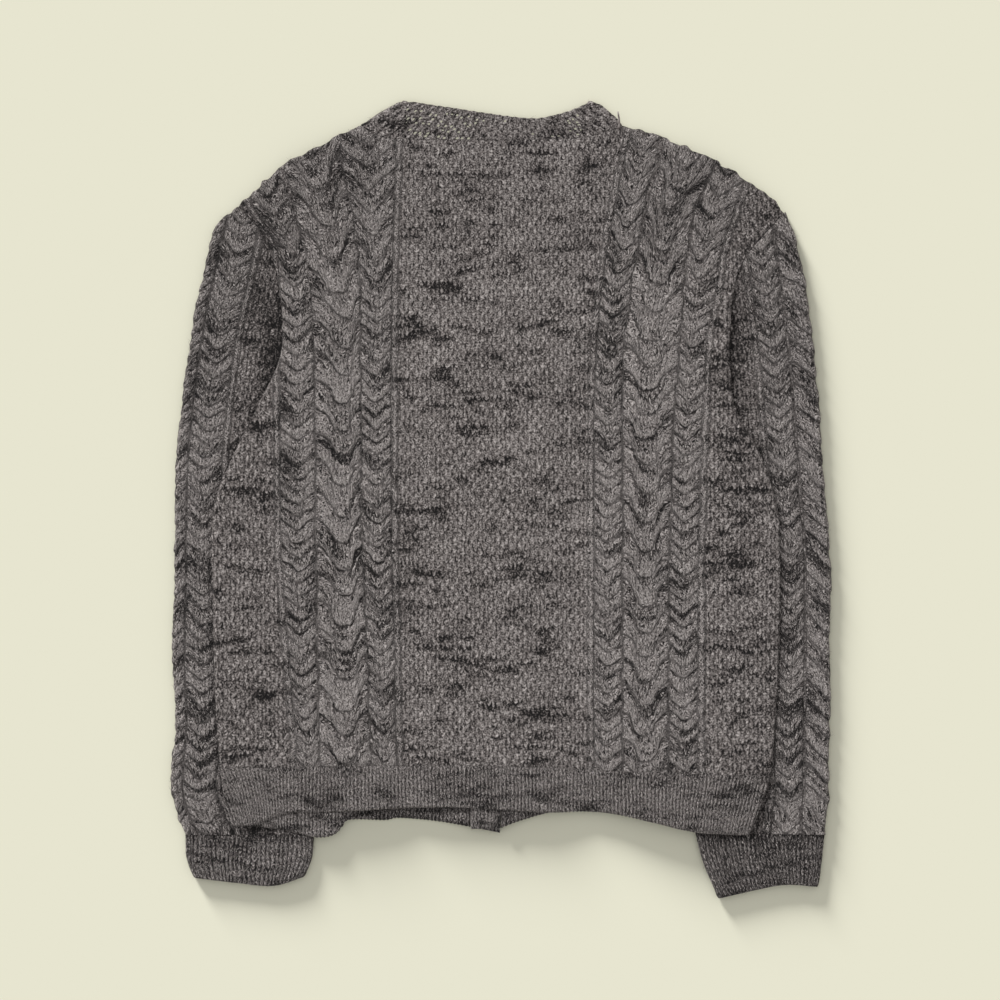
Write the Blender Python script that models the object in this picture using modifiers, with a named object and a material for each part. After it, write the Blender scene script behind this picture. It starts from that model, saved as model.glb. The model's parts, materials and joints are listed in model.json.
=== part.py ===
"""A hand-knitted cable cardigan, buttoned up and laid face down, its sleeves folded under its sides.

Metres, +Z up. The origin is on the floor under the middle of the cardigan; +Y runs up its back to the
neck. From the floor up lie the sleeves, then the fronts, then the back. The wearer's left is at -X.
"""

import math
from collections import namedtuple

import bmesh
import bpy
from mathutils import Vector

MM = 0.001

# Cloth
WALL = 3.2 * MM  # back and fronts
SLEEVE_WALL = 3.0 * MM
SLEEVE_HEIGHT = 7.4 * MM  # a sleeve pressed flat: two walls and the air between them
CUFF_WALL = 2.8 * MM
CUFF_HEIGHT = 6.8 * MM
BAND_WALL = 2.8 * MM
GAP = 0.3 * MM  # between pieces at a seam, and between layers
LAYER = WALL + GAP

# Where the body lies on a sleeve: flat past the sleeve's hidden edge for the margin, then down the ramp
FRONT_MARGIN = 14 * MM
FRONT_RAMP = 36 * MM
BACK_MARGIN = 24 * MM
BACK_RAMP = 120 * MM

# The closing, where the left half of the band lies under the right half
BUTTON_DEPTH = 2.5 * MM
LEFT_BAND_LEVEL = BUTTON_DEPTH + GAP
RIGHT_BAND_LEVEL = LEFT_BAND_LEVEL + BAND_WALL + GAP
LEFT_BAND_SEAM = -31 * MM  # the band's seam on the left front
LEFT_BAND_RAMP = 34 * MM
RIGHT_BAND_SEAM = 0.0
RIGHT_BAND_RAMP = 60 * MM
BACK_OVER_BAND_MARGIN = 24 * MM
BACK_OVER_BAND_RAMP = 90 * MM
BAND_CLEAR = 0.15 * MM  # the parted halves just clear the floor
CLOSED_TO = 70 * MM  # the band halves part above this height
PARTED_AT = 160 * MM  # and lie on the floor above this one
BACK_SINKS_FROM = 95 * MM  # the back comes down over the V from here
BACK_SUNK_AT = 250 * MM

# Buttons
BUTTON_RADIUS = 10 * MM
BUTTON_RIM = 1.6 * MM
BUTTON_DISH = 0.6 * MM
BUTTON_HOLE_RADIUS = 1.0 * MM
BUTTON_HOLE_SPREAD = 2.1 * MM  # of each of the four holes from the middle
BUTTON_ACROSS = -16 * MM
FIRST_BUTTON_UP = -300 * MM
BUTTON_SPACING = 68 * MM
BUTTON_COUNT = 6

# Steps of the cloth's grids
SIDE_ROWS = 9  # welt to underarm
ARMHOLE_ROWS = 12  # underarm to shoulder tip
SEAM_ROWS = 4  # of the armhole rows, those where the sleeve shows beside the body
SHOULDER_COLUMNS = 6
NECK_COLUMNS = 12
WELT_ROWS = 2
SLEEVE_STEPS = 8  # across a flattened sleeve
CUFF_ROWS = 2
END_STEPS = 4  # round a fold at the side of a sleeve
COLLAR = 2 * MM  # straight length at each open end of a sleeve or cuff
CURVE_SAMPLES = 12  # between two points of a table, before it is cut to even steps

At = namedtuple("At", "across up")  # mm from the middle of the cardigan
Rung = namedtuple("Rung", "outer_across outer_up inner_across inner_up")  # mm, one line across a sleeve
Colour = namedtuple("Colour", "red green blue roughness")

YARN = Colour(0.145, 0.128, 0.120, 0.95)
BUTTON_HORN = Colour(0.060, 0.042, 0.030, 0.35)

# Side edges of the body, from the top of the welt to the underarm
LEFT_SIDE = [At(-280, -268), At(-285, -202), At(-288, -115), At(-289, -20)]
RIGHT_SIDE = [At(270, -276), At(275, -205), At(279, -115), At(278, -22)]

# Armholes, from the underarm to the tip of the shoulder
LEFT_ARMHOLE = [
    At(-289, -20), At(-283, 8), At(-269, 41), At(-244, 92), At(-222, 139), At(-218, 172),
    At(-222, 215), At(-230, 248), At(-243, 272), At(-263, 293),
]
RIGHT_ARMHOLE = [
    At(278, -22), At(272, 10), At(255, 54), At(234, 90), At(229, 130), At(228, 165),
    At(234, 216), At(245, 244), At(262, 264), At(283, 287),
]

# Shoulders, from the tip to the neck, and the back neck between them
LEFT_SHOULDER = [At(-263, 293), At(-243, 312), At(-213, 337), At(-161, 364), At(-139, 373)]
RIGHT_SHOULDER = [At(283, 287), At(263, 307), At(216, 337), At(172, 358), At(121, 375)]
BACK_NECK = [At(-139, 373), At(-122, 364), At(-95, 361), At(0, 360), At(75, 362), At(100, 367), At(121, 375)]

# Back welt: its top, its bottom and its two ends
BACK_WELT_TOP = [At(-280, -268), At(-150, -266), At(0, -266), At(140, -272), At(270, -276)]
BACK_WELT_BOTTOM = [
    At(-266, -326), At(-243, -324), At(-214, -313), At(-155, -311), At(-60, -307),
    At(42, -312), At(99, -312), At(147, -321), At(195, -332), At(247, -335),
]
BACK_WELT_LEFT = [At(-266, -326), At(-274, -317), At(-278, -290), At(-280, -268)]
BACK_WELT_RIGHT = [At(247, -335), At(254, -320), At(262, -298), At(270, -276)]

# Front welts. A fold in the left front leaves a step in its lower edge, beside the sleeve.
LEFT_WELT_TOP = [At(-280, -268), At(-155, -268), At(-31, -268)]
LEFT_WELT_BOTTOM = [
    At(-270, -320), At(-240, -327), At(-217, -330), At(-190, -336), At(-160, -336),
    At(-154, -320), At(-121, -320), At(-90, -319), At(-61, -322), At(-31, -327),
]
LEFT_WELT_SIDE = [At(-270, -320), At(-278, -290), At(-280, -268)]
RIGHT_WELT_TOP = [At(0, -268), At(140, -272), At(270, -276)]
RIGHT_WELT_BOTTOM = [
    At(0, -328), At(19, -321), At(59, -311), At(110, -307), At(160, -316), At(200, -326), At(244, -329),
]
RIGHT_WELT_SIDE = [At(244, -329), At(262, -298), At(270, -276)]

# Front edges, from the top of the welt up the opening and the V to the neck, and the band's free edge
LEFT_FRONT_EDGE = [
    At(-31, -268), At(-31, -160), At(-31, -50), At(-32, 50), At(-45, 110), At(-66, 180), At(-92, 260),
    At(-120, 330), At(-139, 373),
]
LEFT_FREE_EDGE = [
    At(-1, -268), At(-1, -160), At(-1, -50), At(-2, 55), At(-16, 118), At(-38, 189), At(-64, 269),
    At(-90, 345), At(-100, 396.2),
]
RIGHT_FRONT_EDGE = [
    At(0, -268), At(0, -160), At(0, -50), At(1, 50), At(14, 110), At(36, 180), At(66, 260),
    At(97, 330), At(121, 375),
]
RIGHT_FREE_EDGE = [
    At(-30, -268), At(-30, -160), At(-30, -50), At(-29, 55), At(-15, 118), At(8, 189), At(38, 269),
    At(70, 345), At(93, 395.2),
]
LEFT_FREE_WELT = [At(-1, -333), At(-1, -268)]
RIGHT_FREE_WELT = [At(-30, -329), At(-30, -268)]
LEFT_WELT_EDGE = [At(-31, -327), At(-31, -268)]
RIGHT_WELT_EDGE = [At(0, -328), At(0, -268)]
NECK_FREE_EDGE = [
    At(-100, 396.2), At(-88, 397), At(-59, 394), At(-6, 386), At(30, 382), At(53, 385), At(93, 395.2),
]

# Hidden edge of each sleeve under the body, from above the shoulder seam's end down to the cuff
LEFT_UNDER = [
    At(-328, 293), At(-220, 194), At(-196, 168), At(-176, 120), At(-163, 50), At(-159, -20),
    At(-161, -100), At(-168, -200), At(-179, -280), At(-188, -335), At(-195, -380),
]
RIGHT_UNDER = [
    At(345, 293), At(229, 187), At(207, 162), At(189, 120), At(175, 50), At(169, -20),
    At(169, -100), At(176, -200), At(189, -290), At(195, -332), At(207, -385),
]

# Lines across the sleeves below the shoulder seam, from the outer fold to the hidden one
LEFT_RUNGS = [
    Rung(-285, 274, -189, 154), Rung(-293, 248, -184, 140), Rung(-299, 222, -179, 127),
    Rung(-306, 190, -173, 100), Rung(-313, 145, -167, 72), Rung(-319, 100, -163, 46),
    Rung(-324, 45, -160, 12), Rung(-326, -20, -159, -32), Rung(-327, -90, -160, -92),
    Rung(-328, -160, -165, -160), Rung(-326, -225, -171, -225), Rung(-330, -283, -179, -283),
    Rung(-324, -314, -184, -314), Rung(-315, -335, -188, -335),
]
RIGHT_RUNGS = [
    Rung(294, 265, 203, 150), Rung(300, 240, 198, 138), Rung(306, 214, 193, 126),
    Rung(311, 175, 186, 96), Rung(316, 128, 180, 68), Rung(320, 78, 175, 42),
    Rung(325, 10, 171, 0), Rung(330, -60, 169, -60), Rung(330, -120, 170, -120),
    Rung(330, -180, 175, -180), Rung(329, -240, 182, -240), Rung(329, -294, 189, -294),
    Rung(326, -318, 193, -317), Rung(325, -335, 195, -333),
]

# Cuffs: their two sides, from the sleeve down, and the curve of the open end
LEFT_CUFF_OUTER = [At(-315, -335), At(-314, -358), At(-307, -378)]
LEFT_CUFF_INNER = [At(-188, -335), At(-190, -357), At(-197, -377)]
LEFT_CUFF_END = [At(-307, -378), At(-265, -383), At(-228, -386), At(-197, -377)]
RIGHT_CUFF_OUTER = [At(325, -335), At(322, -360), At(318, -387)]
RIGHT_CUFF_INNER = [At(195, -333), At(203, -362), At(218, -398.7)]
RIGHT_CUFF_END = [At(318, -387), At(285, -385), At(256, -390), At(218, -398.7)]


def spot(point):
    """A table's point as a plan position in metres."""
    return Vector((point.across * MM, point.up * MM))


def catmull_rom(before, start, end, after, t):
    return 0.5 * (
        2 * start
        + (end - before) * t
        + (2 * before - 5 * start + 4 * end - after) * t * t
        + (3 * start - before - 3 * end + after) * t * t * t
    )


def even_curve(table, steps):
    """A smooth curve through the table's points, as steps + 1 positions at even distances along it."""
    knots = [spot(point) for point in table]
    knots = [2 * knots[0] - knots[1]] + knots + [2 * knots[-1] - knots[-2]]
    fine = []
    for k in range(1, len(knots) - 2):
        for sample in range(CURVE_SAMPLES):
            fine.append(catmull_rom(*knots[k - 1:k + 3], sample / CURVE_SAMPLES))
    fine.append(knots[-2])
    travelled = [0.0]
    for previous, current in zip(fine, fine[1:]):
        travelled.append(travelled[-1] + (current - previous).length)
    positions = []
    segment = 0
    for step in range(steps + 1):
        wanted = travelled[-1] * step / steps
        while segment < len(fine) - 2 and travelled[segment + 1] < wanted:
            segment += 1
        share = (wanted - travelled[segment]) / (travelled[segment + 1] - travelled[segment])
        positions.append(fine[segment].lerp(fine[segment + 1], share))
    return positions


def shifted(curve, distance):
    """The curve moved sideways by distance, to the right of the way it runs."""
    moved = []
    for k, position in enumerate(curve):
        along = curve[min(k + 1, len(curve) - 1)] - curve[max(k - 1, 0)]
        along.normalize()
        moved.append(position + Vector((along.y, -along.x)) * distance)
    return moved


def ease(share):
    share = min(max(share, 0.0), 1.0)
    return share * share * (3 - 2 * share)


def across_at(table, up):
    """Where a table that runs down the body is at a height: its distance across and its slope."""
    for above, below in zip(table, table[1:]):
        if up >= below.up * MM or below is table[-1]:
            slope = (above.across - below.across) / (above.up - below.up)
            return below.across * MM + slope * (up - below.up * MM), slope


def sleeve_share(place, margin, ramp):
    """How far the cloth is lifted by the sleeve under it: 1 above the sleeve, 0 past the ramp."""
    on_left = place.x < 0
    edge, slope = across_at(LEFT_UNDER if on_left else RIGHT_UNDER, place.y)
    inward = place.x - edge if on_left else edge - place.x
    return ease((ramp + margin - inward / math.hypot(1, slope)) / ramp)


def closed_share(up):
    """1 where the band halves lie on each other, 0 above the opening of the V."""
    return ease((PARTED_AT - up) / (PARTED_AT - CLOSED_TO))


def front_left_level(place):
    lifted = (SLEEVE_HEIGHT + GAP) * sleeve_share(place, FRONT_MARGIN, FRONT_RAMP)
    by_band = ease(1 - (LEFT_BAND_SEAM - place.x) / LEFT_BAND_RAMP)
    return max(lifted, LEFT_BAND_LEVEL * by_band * closed_share(place.y))


def front_right_level(place):
    lifted = (SLEEVE_HEIGHT + GAP) * sleeve_share(place, FRONT_MARGIN, FRONT_RAMP)
    by_band = ease(1 - (place.x - RIGHT_BAND_SEAM) / RIGHT_BAND_RAMP)
    return max(lifted, RIGHT_BAND_LEVEL * by_band * closed_share(place.y))


def back_level(place):
    lifted = (SLEEVE_HEIGHT + GAP) * sleeve_share(place, BACK_MARGIN, BACK_RAMP)
    beside = max(LEFT_BAND_SEAM - place.x, place.x - RIGHT_BAND_SEAM) - BACK_OVER_BAND_MARGIN
    by_band = ease(1 - beside / BACK_OVER_BAND_RAMP)
    held_up = ease((BACK_SUNK_AT - place.y) / (BACK_SUNK_AT - BACK_SINKS_FROM))
    over_band = RIGHT_BAND_LEVEL * by_band * held_up
    return LAYER + max(lifted, over_band)


def patch(bottom, top, left, right):
    """Plan positions that fill four edges: rows from bottom to top, each from left to right."""
    rows = []
    for r, (left_spot, right_spot) in enumerate(zip(left, right)):
        v = r / (len(left) - 1)
        row = []
        for c, (bottom_spot, top_spot) in enumerate(zip(bottom, top)):
            u = c / (len(bottom) - 1)
            upright = bottom_spot.lerp(top_spot, v)
            level = left_spot.lerp(right_spot, u)
            corners = bottom[0].lerp(bottom[-1], u).lerp(top[0].lerp(top[-1], u), v)
            row.append(upright + level - corners)
        rows.append(row)
    return rows


def lifted_rows(rows, level):
    return [[Vector((place.x, place.y, level(place))) for place in row] for row in rows]


def material(name, colour):
    made = bpy.data.materials.new(name)
    made.use_nodes = True
    shader = made.node_tree.nodes["Principled BSDF"]
    shader.inputs["Base Color"].default_value = (colour.red, colour.green, colour.blue, 1)
    shader.inputs["Roughness"].default_value = colour.roughness
    shader.inputs["Metallic"].default_value = 0
    made.diffuse_color = (colour.red, colour.green, colour.blue, 1)
    return made


def place_object(name, mesh, colour, collection):
    mesh.materials.append(material(name, colour))
    made = bpy.data.objects.new(name, mesh)
    collection.objects.link(made)
    return made


def cloth(name, rows, wall, collection, ring=False):
    """A wall of cloth on rows of points, thickened on the side that the rows face."""
    mesh = bpy.data.meshes.new(name)
    grid = bmesh.new()
    made_rows = [[grid.verts.new(place) for place in row] for row in rows]
    columns = len(rows[0])
    for lower, upper in zip(made_rows, made_rows[1:]):
        for c in range(columns if ring else columns - 1):
            after = (c + 1) % columns
            grid.faces.new((lower[c], lower[after], upper[after], upper[c]))
    grid.to_mesh(mesh)
    grid.free()
    mesh.shade_smooth()
    made = place_object(name, mesh, YARN, collection)
    thickness = made.modifiers.new("wall", "SOLIDIFY")
    thickness.thickness = wall
    thickness.offset = 1
    thickness.use_even_offset = True
    return made


def make_back(collection):
    left = even_curve(LEFT_SIDE, SIDE_ROWS) + even_curve(LEFT_ARMHOLE, ARMHOLE_ROWS)[1:]
    right = even_curve(RIGHT_SIDE, SIDE_ROWS) + even_curve(RIGHT_ARMHOLE, ARMHOLE_ROWS)[1:]
    neck = even_curve(BACK_NECK, NECK_COLUMNS)
    right_shoulder = even_curve(RIGHT_SHOULDER, SHOULDER_COLUMNS)[::-1]
    top = even_curve(LEFT_SHOULDER, SHOULDER_COLUMNS) + neck[1:] + right_shoulder[1:]
    bottom = even_curve(BACK_WELT_TOP, len(top) - 1)
    cloth("back", lifted_rows(patch(bottom, top, left, right), back_level), WALL, collection)


def make_back_welt(collection):
    columns = 2 * SHOULDER_COLUMNS + NECK_COLUMNS
    top = [place - Vector((0, GAP)) for place in even_curve(BACK_WELT_TOP, columns)]
    bottom = even_curve(BACK_WELT_BOTTOM, columns)
    left = even_curve(BACK_WELT_LEFT, WELT_ROWS)
    right = even_curve(BACK_WELT_RIGHT, WELT_ROWS)
    left[-1], right[-1] = top[0], top[-1]
    cloth("back_welt", lifted_rows(patch(bottom, top, left, right), back_level), BAND_WALL, collection)


def front_rows(side, armhole, edge, shoulder, columns):
    """A front's plan, from its side seam to its front edge, whichever way that is."""
    rows = SIDE_ROWS + ARMHOLE_ROWS
    outer = even_curve(side, SIDE_ROWS) + even_curve(armhole, ARMHOLE_ROWS)[1:]
    inner = even_curve(edge, rows)
    top = even_curve(shoulder, columns)
    bottom = [outer[0].lerp(inner[0], c / columns) for c in range(columns + 1)]
    return patch(bottom, top, outer, inner)


def make_fronts(collection):
    columns = 2 * SHOULDER_COLUMNS - 1
    rows = front_rows(LEFT_SIDE, LEFT_ARMHOLE, LEFT_FRONT_EDGE, LEFT_SHOULDER, columns)
    cloth("front_left", lifted_rows(rows, front_left_level), WALL, collection)
    rows = front_rows(RIGHT_SIDE, RIGHT_ARMHOLE, RIGHT_FRONT_EDGE, RIGHT_SHOULDER, columns)
    rows = [row[::-1] for row in rows]
    cloth("front_right", lifted_rows(rows, front_right_level), WALL, collection)


def make_front_welts(collection):
    columns = 2 * SHOULDER_COLUMNS + 6
    drop = Vector((0, GAP))
    top = [place - drop for place in even_curve(LEFT_WELT_TOP, columns)]
    bottom = even_curve(LEFT_WELT_BOTTOM, columns)
    side = even_curve(LEFT_WELT_SIDE, WELT_ROWS)
    edge = even_curve(LEFT_WELT_EDGE, WELT_ROWS)
    side[-1], edge[-1] = top[0], top[-1]
    rows = lifted_rows(patch(bottom, top, side, edge), front_left_level)
    cloth("front_left_welt", rows, BAND_WALL, collection)
    columns = 2 * SHOULDER_COLUMNS
    top = [place - drop for place in even_curve(RIGHT_WELT_TOP, columns)]
    bottom = even_curve(RIGHT_WELT_BOTTOM, columns)
    side = even_curve(RIGHT_WELT_SIDE, WELT_ROWS)
    edge = even_curve(RIGHT_WELT_EDGE, WELT_ROWS)
    side[-1], edge[-1] = top[-1], top[0]
    rows = lifted_rows(patch(bottom, top, edge, side), front_right_level)
    cloth("front_right_welt", rows, BAND_WALL, collection)


def flat_ring(line, height):
    """A flattened tube's outline over a line across it: along the top, round one end and back below."""
    radius = height / 2
    first_end = (line[0] - line[1]).normalized()
    last_end = (line[-1] - line[-2]).normalized()
    places = [line[0] - first_end * radius] + line[1:-1] + [line[-1] - last_end * radius]
    ring = [Vector((place.x, place.y, height)) for place in places]
    for step in range(1, END_STEPS):
        turn = math.pi * step / END_STEPS
        out = places[-1] + last_end * radius * math.sin(turn)
        ring.append(Vector((out.x, out.y, radius + radius * math.cos(turn))))
    ring += [Vector((place.x, place.y, 0)) for place in reversed(places)]
    for step in range(1, END_STEPS):
        turn = math.pi * step / END_STEPS
        out = places[0] + first_end * radius * math.sin(turn)
        ring.append(Vector((out.x, out.y, radius - radius * math.cos(turn))))
    return ring


def seam_line(armhole, under, outward):
    """The sleeve's own line along the armhole, then under the body to the sleeve's hidden edge."""
    seam = even_curve(armhole, ARMHOLE_ROWS)[::-1][:SEAM_ROWS + 1]
    seam = shifted(seam, GAP * outward)
    inner = spot(under[2])
    hidden = SLEEVE_STEPS - SEAM_ROWS
    return seam + [seam[-1].lerp(inner, step / hidden) for step in range(1, hidden + 1)]


def sleeve_lines(armhole, under, rungs, outward):
    """Lines across a sleeve. The curve of the shoulder seam fades out over the first of them."""
    first = seam_line(armhole, under, outward)
    steps = SLEEVE_STEPS
    bulge = [place - first[0].lerp(first[-1], k / steps) for k, place in enumerate(first)]
    lines = [first]
    for number, rung in enumerate(rungs, 1):
        outer = Vector((rung.outer_across * MM, rung.outer_up * MM))
        inner = Vector((rung.inner_across * MM, rung.inner_up * MM))
        left = max(0.0, 1 - number / (SEAM_ROWS + 1)) ** 2
        lines.append([outer.lerp(inner, k / steps) + bulge[k] * left for k in range(steps + 1)])
    return lines


def make_tube(name, lines, height, wall, facing, collection):
    start = shifted(lines[0], -facing * COLLAR)
    end = shifted(lines[-1], facing * COLLAR)
    rings = [flat_ring(line, height) for line in [lines[0], start] + lines[1:-1] + [end, lines[-1]]]
    if facing < 0:
        rings = rings[::-1]
    tube = cloth(name, rings, wall, collection, ring=True)
    tube.modifiers["wall"].offset = -1


def make_sleeves(collection):
    left = sleeve_lines(LEFT_ARMHOLE, LEFT_UNDER, LEFT_RUNGS, 1)
    right = sleeve_lines(RIGHT_ARMHOLE, RIGHT_UNDER, RIGHT_RUNGS, -1)
    make_tube("sleeve_left", left, SLEEVE_HEIGHT, SLEEVE_WALL, -1, collection)
    make_tube("sleeve_right", right, SLEEVE_HEIGHT, SLEEVE_WALL, 1, collection)


def cuff_lines(outer_table, inner_table, end_table):
    """Lines across a cuff; the curve of its open end fades out towards the sleeve."""
    outer = even_curve(outer_table, CUFF_ROWS)
    inner = even_curve(inner_table, CUFF_ROWS)
    end = even_curve(end_table, SLEEVE_STEPS)
    lines = []
    for row in range(CUFF_ROWS + 1):
        straight = [outer[row].lerp(inner[row], k / SLEEVE_STEPS) for k in range(SLEEVE_STEPS + 1)]
        chord = [end[0].lerp(end[-1], k / SLEEVE_STEPS) for k in range(SLEEVE_STEPS + 1)]
        share = (row / CUFF_ROWS) ** 2
        line = [place + (end[k] - chord[k]) * share for k, place in enumerate(straight)]
        lines.append([place - Vector((0, GAP)) for place in line])
    return lines


def make_cuffs(collection):
    left = cuff_lines(LEFT_CUFF_OUTER, LEFT_CUFF_INNER, LEFT_CUFF_END)
    right = cuff_lines(RIGHT_CUFF_OUTER, RIGHT_CUFF_INNER, RIGHT_CUFF_END)
    make_tube("cuff_left", left, CUFF_HEIGHT, CUFF_WALL, -1, collection)
    make_tube("cuff_right", right, CUFF_HEIGHT, CUFF_WALL, 1, collection)


def across_band(seam_spot, free_spot, height):
    """One line across the band, from its free edge to its seam."""
    return [Vector((*free_spot.lerp(seam_spot, share), height)) for share in (0, 0.5, 1)]


def band_half(welt_edge, front_edge, free_welt, free_edge, level, outward):
    """Lines across the band up one front, on the band's inner face."""
    rows = SIDE_ROWS + ARMHOLE_ROWS
    seam = even_curve(welt_edge, WELT_ROWS) + even_curve(front_edge, rows)[1:]
    seam = shifted(seam, GAP * outward)
    free = even_curve(free_welt, WELT_ROWS) + even_curve(free_edge, rows)[1:]
    lines = []
    for seam_spot, free_spot in zip(seam, free):
        height = max(level * closed_share(seam_spot.y), BAND_CLEAR) + BAND_WALL
        lines.append(across_band(seam_spot, free_spot, height))
    return lines


def fold_lines(front_line, out):
    """The band's turn over the shoulder, from the front's level to the back's."""
    radius = (LAYER - BAND_WALL) / 2
    middle = BAND_WALL + radius
    lines = []
    for step in range(END_STEPS + 1):
        turn = math.pi * step / END_STEPS
        push = out * radius * math.sin(turn)
        height = middle - radius * math.cos(turn)
        lines.append([Vector((place.x + push.x, place.y + push.y, height)) for place in front_line])
    return lines


def make_band(collection):
    left = band_half(LEFT_WELT_EDGE, LEFT_FRONT_EDGE, LEFT_FREE_WELT, LEFT_FREE_EDGE, LEFT_BAND_LEVEL, 1)
    right = band_half(RIGHT_WELT_EDGE, RIGHT_FRONT_EDGE, RIGHT_FREE_WELT, RIGHT_FREE_EDGE, RIGHT_BAND_LEVEL, -1)
    seam = shifted(even_curve(BACK_NECK, NECK_COLUMNS), -GAP)
    free = even_curve(NECK_FREE_EDGE, NECK_COLUMNS)
    neck = []
    for seam_spot, free_spot in zip(seam, free):
        neck.append(across_band(seam_spot, free_spot, LAYER))
    left_width = (left[-1][0] - left[-1][-1]).xy.normalized()
    right_width = (right[-1][0] - right[-1][-1]).xy.normalized()
    left_fold = fold_lines(left[-1], Vector((-left_width.y, left_width.x)))
    right_fold = fold_lines(right[-1], Vector((right_width.y, -right_width.x)))
    lines = left[:-1] + left_fold + neck[1:-1] + right_fold[::-1] + right[:-1][::-1]
    cloth("front_neck_band", lines, BAND_WALL, collection)


def make_button(number, up, collection, cutters):
    """A round button with a raised rim and four holes, its face to the floor."""
    name = f"button_{number}"
    outline = bpy.data.meshes.new(name)
    inner = BUTTON_RADIUS - BUTTON_RIM
    profile = [(0, BUTTON_DISH), (inner, BUTTON_DISH), (inner + BUTTON_DISH, 0), (BUTTON_RADIUS, 0)]
    profile += [(BUTTON_RADIUS, BUTTON_DEPTH), (0, BUTTON_DEPTH)]
    corners = [(across, 0, height) for across, height in profile]
    outline.from_pydata(corners, [(k, k + 1) for k in range(len(corners) - 1)], [])
    made = place_object(name, outline, BUTTON_HORN, collection)
    made.location = (BUTTON_ACROSS, up, 0)
    turned = made.modifiers.new("turned", "SCREW")
    turned.steps = 24
    turned.render_steps = 24
    turned.use_merge_vertices = True
    turned.merge_threshold = 0.00001
    turned.use_normal_calculate = True
    drill = bmesh.new()
    for turn in range(4):
        angle = math.pi / 4 + turn * math.pi / 2
        put = Vector((math.cos(angle), math.sin(angle), 0)) * BUTTON_HOLE_SPREAD
        cone = bmesh.ops.create_cone(
            drill, cap_ends=True, segments=8, radius1=BUTTON_HOLE_RADIUS, radius2=BUTTON_HOLE_RADIUS,
            depth=3 * BUTTON_DEPTH,
        )
        bmesh.ops.translate(drill, verts=cone["verts"], vec=put + Vector((0, 0, BUTTON_DEPTH / 2)))
    holes_mesh = bpy.data.meshes.new(f"{name}_holes")
    drill.to_mesh(holes_mesh)
    drill.free()
    holes = bpy.data.objects.new(f"{name}_holes", holes_mesh)
    holes.location = made.location
    holes.hide_render = True
    holes.display_type = "WIRE"
    cutters.objects.link(holes)
    cut = made.modifiers.new("holes", "BOOLEAN")
    cut.operation = "DIFFERENCE"
    cut.object = holes


def main():
    for old in list(bpy.data.objects):
        bpy.data.objects.remove(old)
    collection = bpy.data.collections.new("cable_knit_cardigan")
    cutters = bpy.data.collections.new("cutters")
    bpy.context.scene.collection.children.link(collection)
    bpy.context.scene.collection.children.link(cutters)
    make_back(collection)
    make_back_welt(collection)
    make_fronts(collection)
    make_front_welts(collection)
    make_sleeves(collection)
    make_cuffs(collection)
    make_band(collection)
    for number in range(BUTTON_COUNT):
        make_button(number + 1, FIRST_BUTTON_UP + number * BUTTON_SPACING, collection, cutters)


main()
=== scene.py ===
# %% [markdown]
# # A cable knit cardigan, laid face down
# A man's cardigan of thick marled wool lies buttoned up on its front, its sleeves straight down
# and partly under its sides. We dress a finished construction model, which is already in its
# place: every panel here is a thin shell of knitting on the form that the model gives it.

# %% The frame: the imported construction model
import json
import math
from collections import namedtuple

import bpy
import numpy as np
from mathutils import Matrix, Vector

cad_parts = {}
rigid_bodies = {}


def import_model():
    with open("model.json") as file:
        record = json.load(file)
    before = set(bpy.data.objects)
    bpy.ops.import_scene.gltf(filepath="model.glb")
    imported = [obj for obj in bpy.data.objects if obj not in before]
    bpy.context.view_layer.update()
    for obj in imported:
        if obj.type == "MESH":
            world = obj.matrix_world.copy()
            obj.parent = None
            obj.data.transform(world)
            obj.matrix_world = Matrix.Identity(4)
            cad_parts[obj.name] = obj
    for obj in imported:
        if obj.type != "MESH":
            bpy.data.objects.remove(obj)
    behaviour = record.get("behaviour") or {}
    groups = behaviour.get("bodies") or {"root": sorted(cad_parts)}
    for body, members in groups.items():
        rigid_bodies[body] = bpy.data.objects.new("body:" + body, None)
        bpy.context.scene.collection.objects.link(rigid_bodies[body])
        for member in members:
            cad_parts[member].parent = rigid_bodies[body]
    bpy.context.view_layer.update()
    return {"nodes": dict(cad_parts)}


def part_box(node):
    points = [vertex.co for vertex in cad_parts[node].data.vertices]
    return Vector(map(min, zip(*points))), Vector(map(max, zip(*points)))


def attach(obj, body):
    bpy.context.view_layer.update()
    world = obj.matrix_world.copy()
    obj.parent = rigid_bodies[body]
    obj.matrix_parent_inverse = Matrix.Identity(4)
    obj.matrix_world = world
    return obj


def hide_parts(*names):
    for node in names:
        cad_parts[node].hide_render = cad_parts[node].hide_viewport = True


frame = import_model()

MM = 0.001
print("construction nodes:", len(frame["nodes"]))

# %% [markdown]
# ## The cloth's plan
# The outlines are short tables of places on the floor, in millimetres from the middle of the
# cardigan: the same ones that the construction uses. Smooth curves run through them.

# %% Sizes that the cloth shares with its construction
WALL = 3.2 * MM
SLEEVE_WALL = 3.0 * MM
SLEEVE_HEIGHT = 7.4 * MM
CUFF_WALL = 2.8 * MM
CUFF_HEIGHT = 6.8 * MM
BAND_WALL = 2.8 * MM
GAP = 0.3 * MM
LAYER = WALL + GAP
FRONT_MARGIN = 14 * MM
FRONT_RAMP = 36 * MM
BACK_MARGIN = 24 * MM
BACK_RAMP = 120 * MM
BUTTON_DEPTH = 2.5 * MM
LEFT_BAND_LEVEL = BUTTON_DEPTH + GAP
RIGHT_BAND_LEVEL = LEFT_BAND_LEVEL + BAND_WALL + GAP
LEFT_BAND_SEAM = -31 * MM
LEFT_BAND_RAMP = 34 * MM
RIGHT_BAND_SEAM = 0.0
RIGHT_BAND_RAMP = 60 * MM
BACK_OVER_BAND_MARGIN = 24 * MM
BACK_OVER_BAND_RAMP = 90 * MM
BAND_CLEAR = 0.15 * MM
CLOSED_TO = 70 * MM
PARTED_AT = 160 * MM
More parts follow.
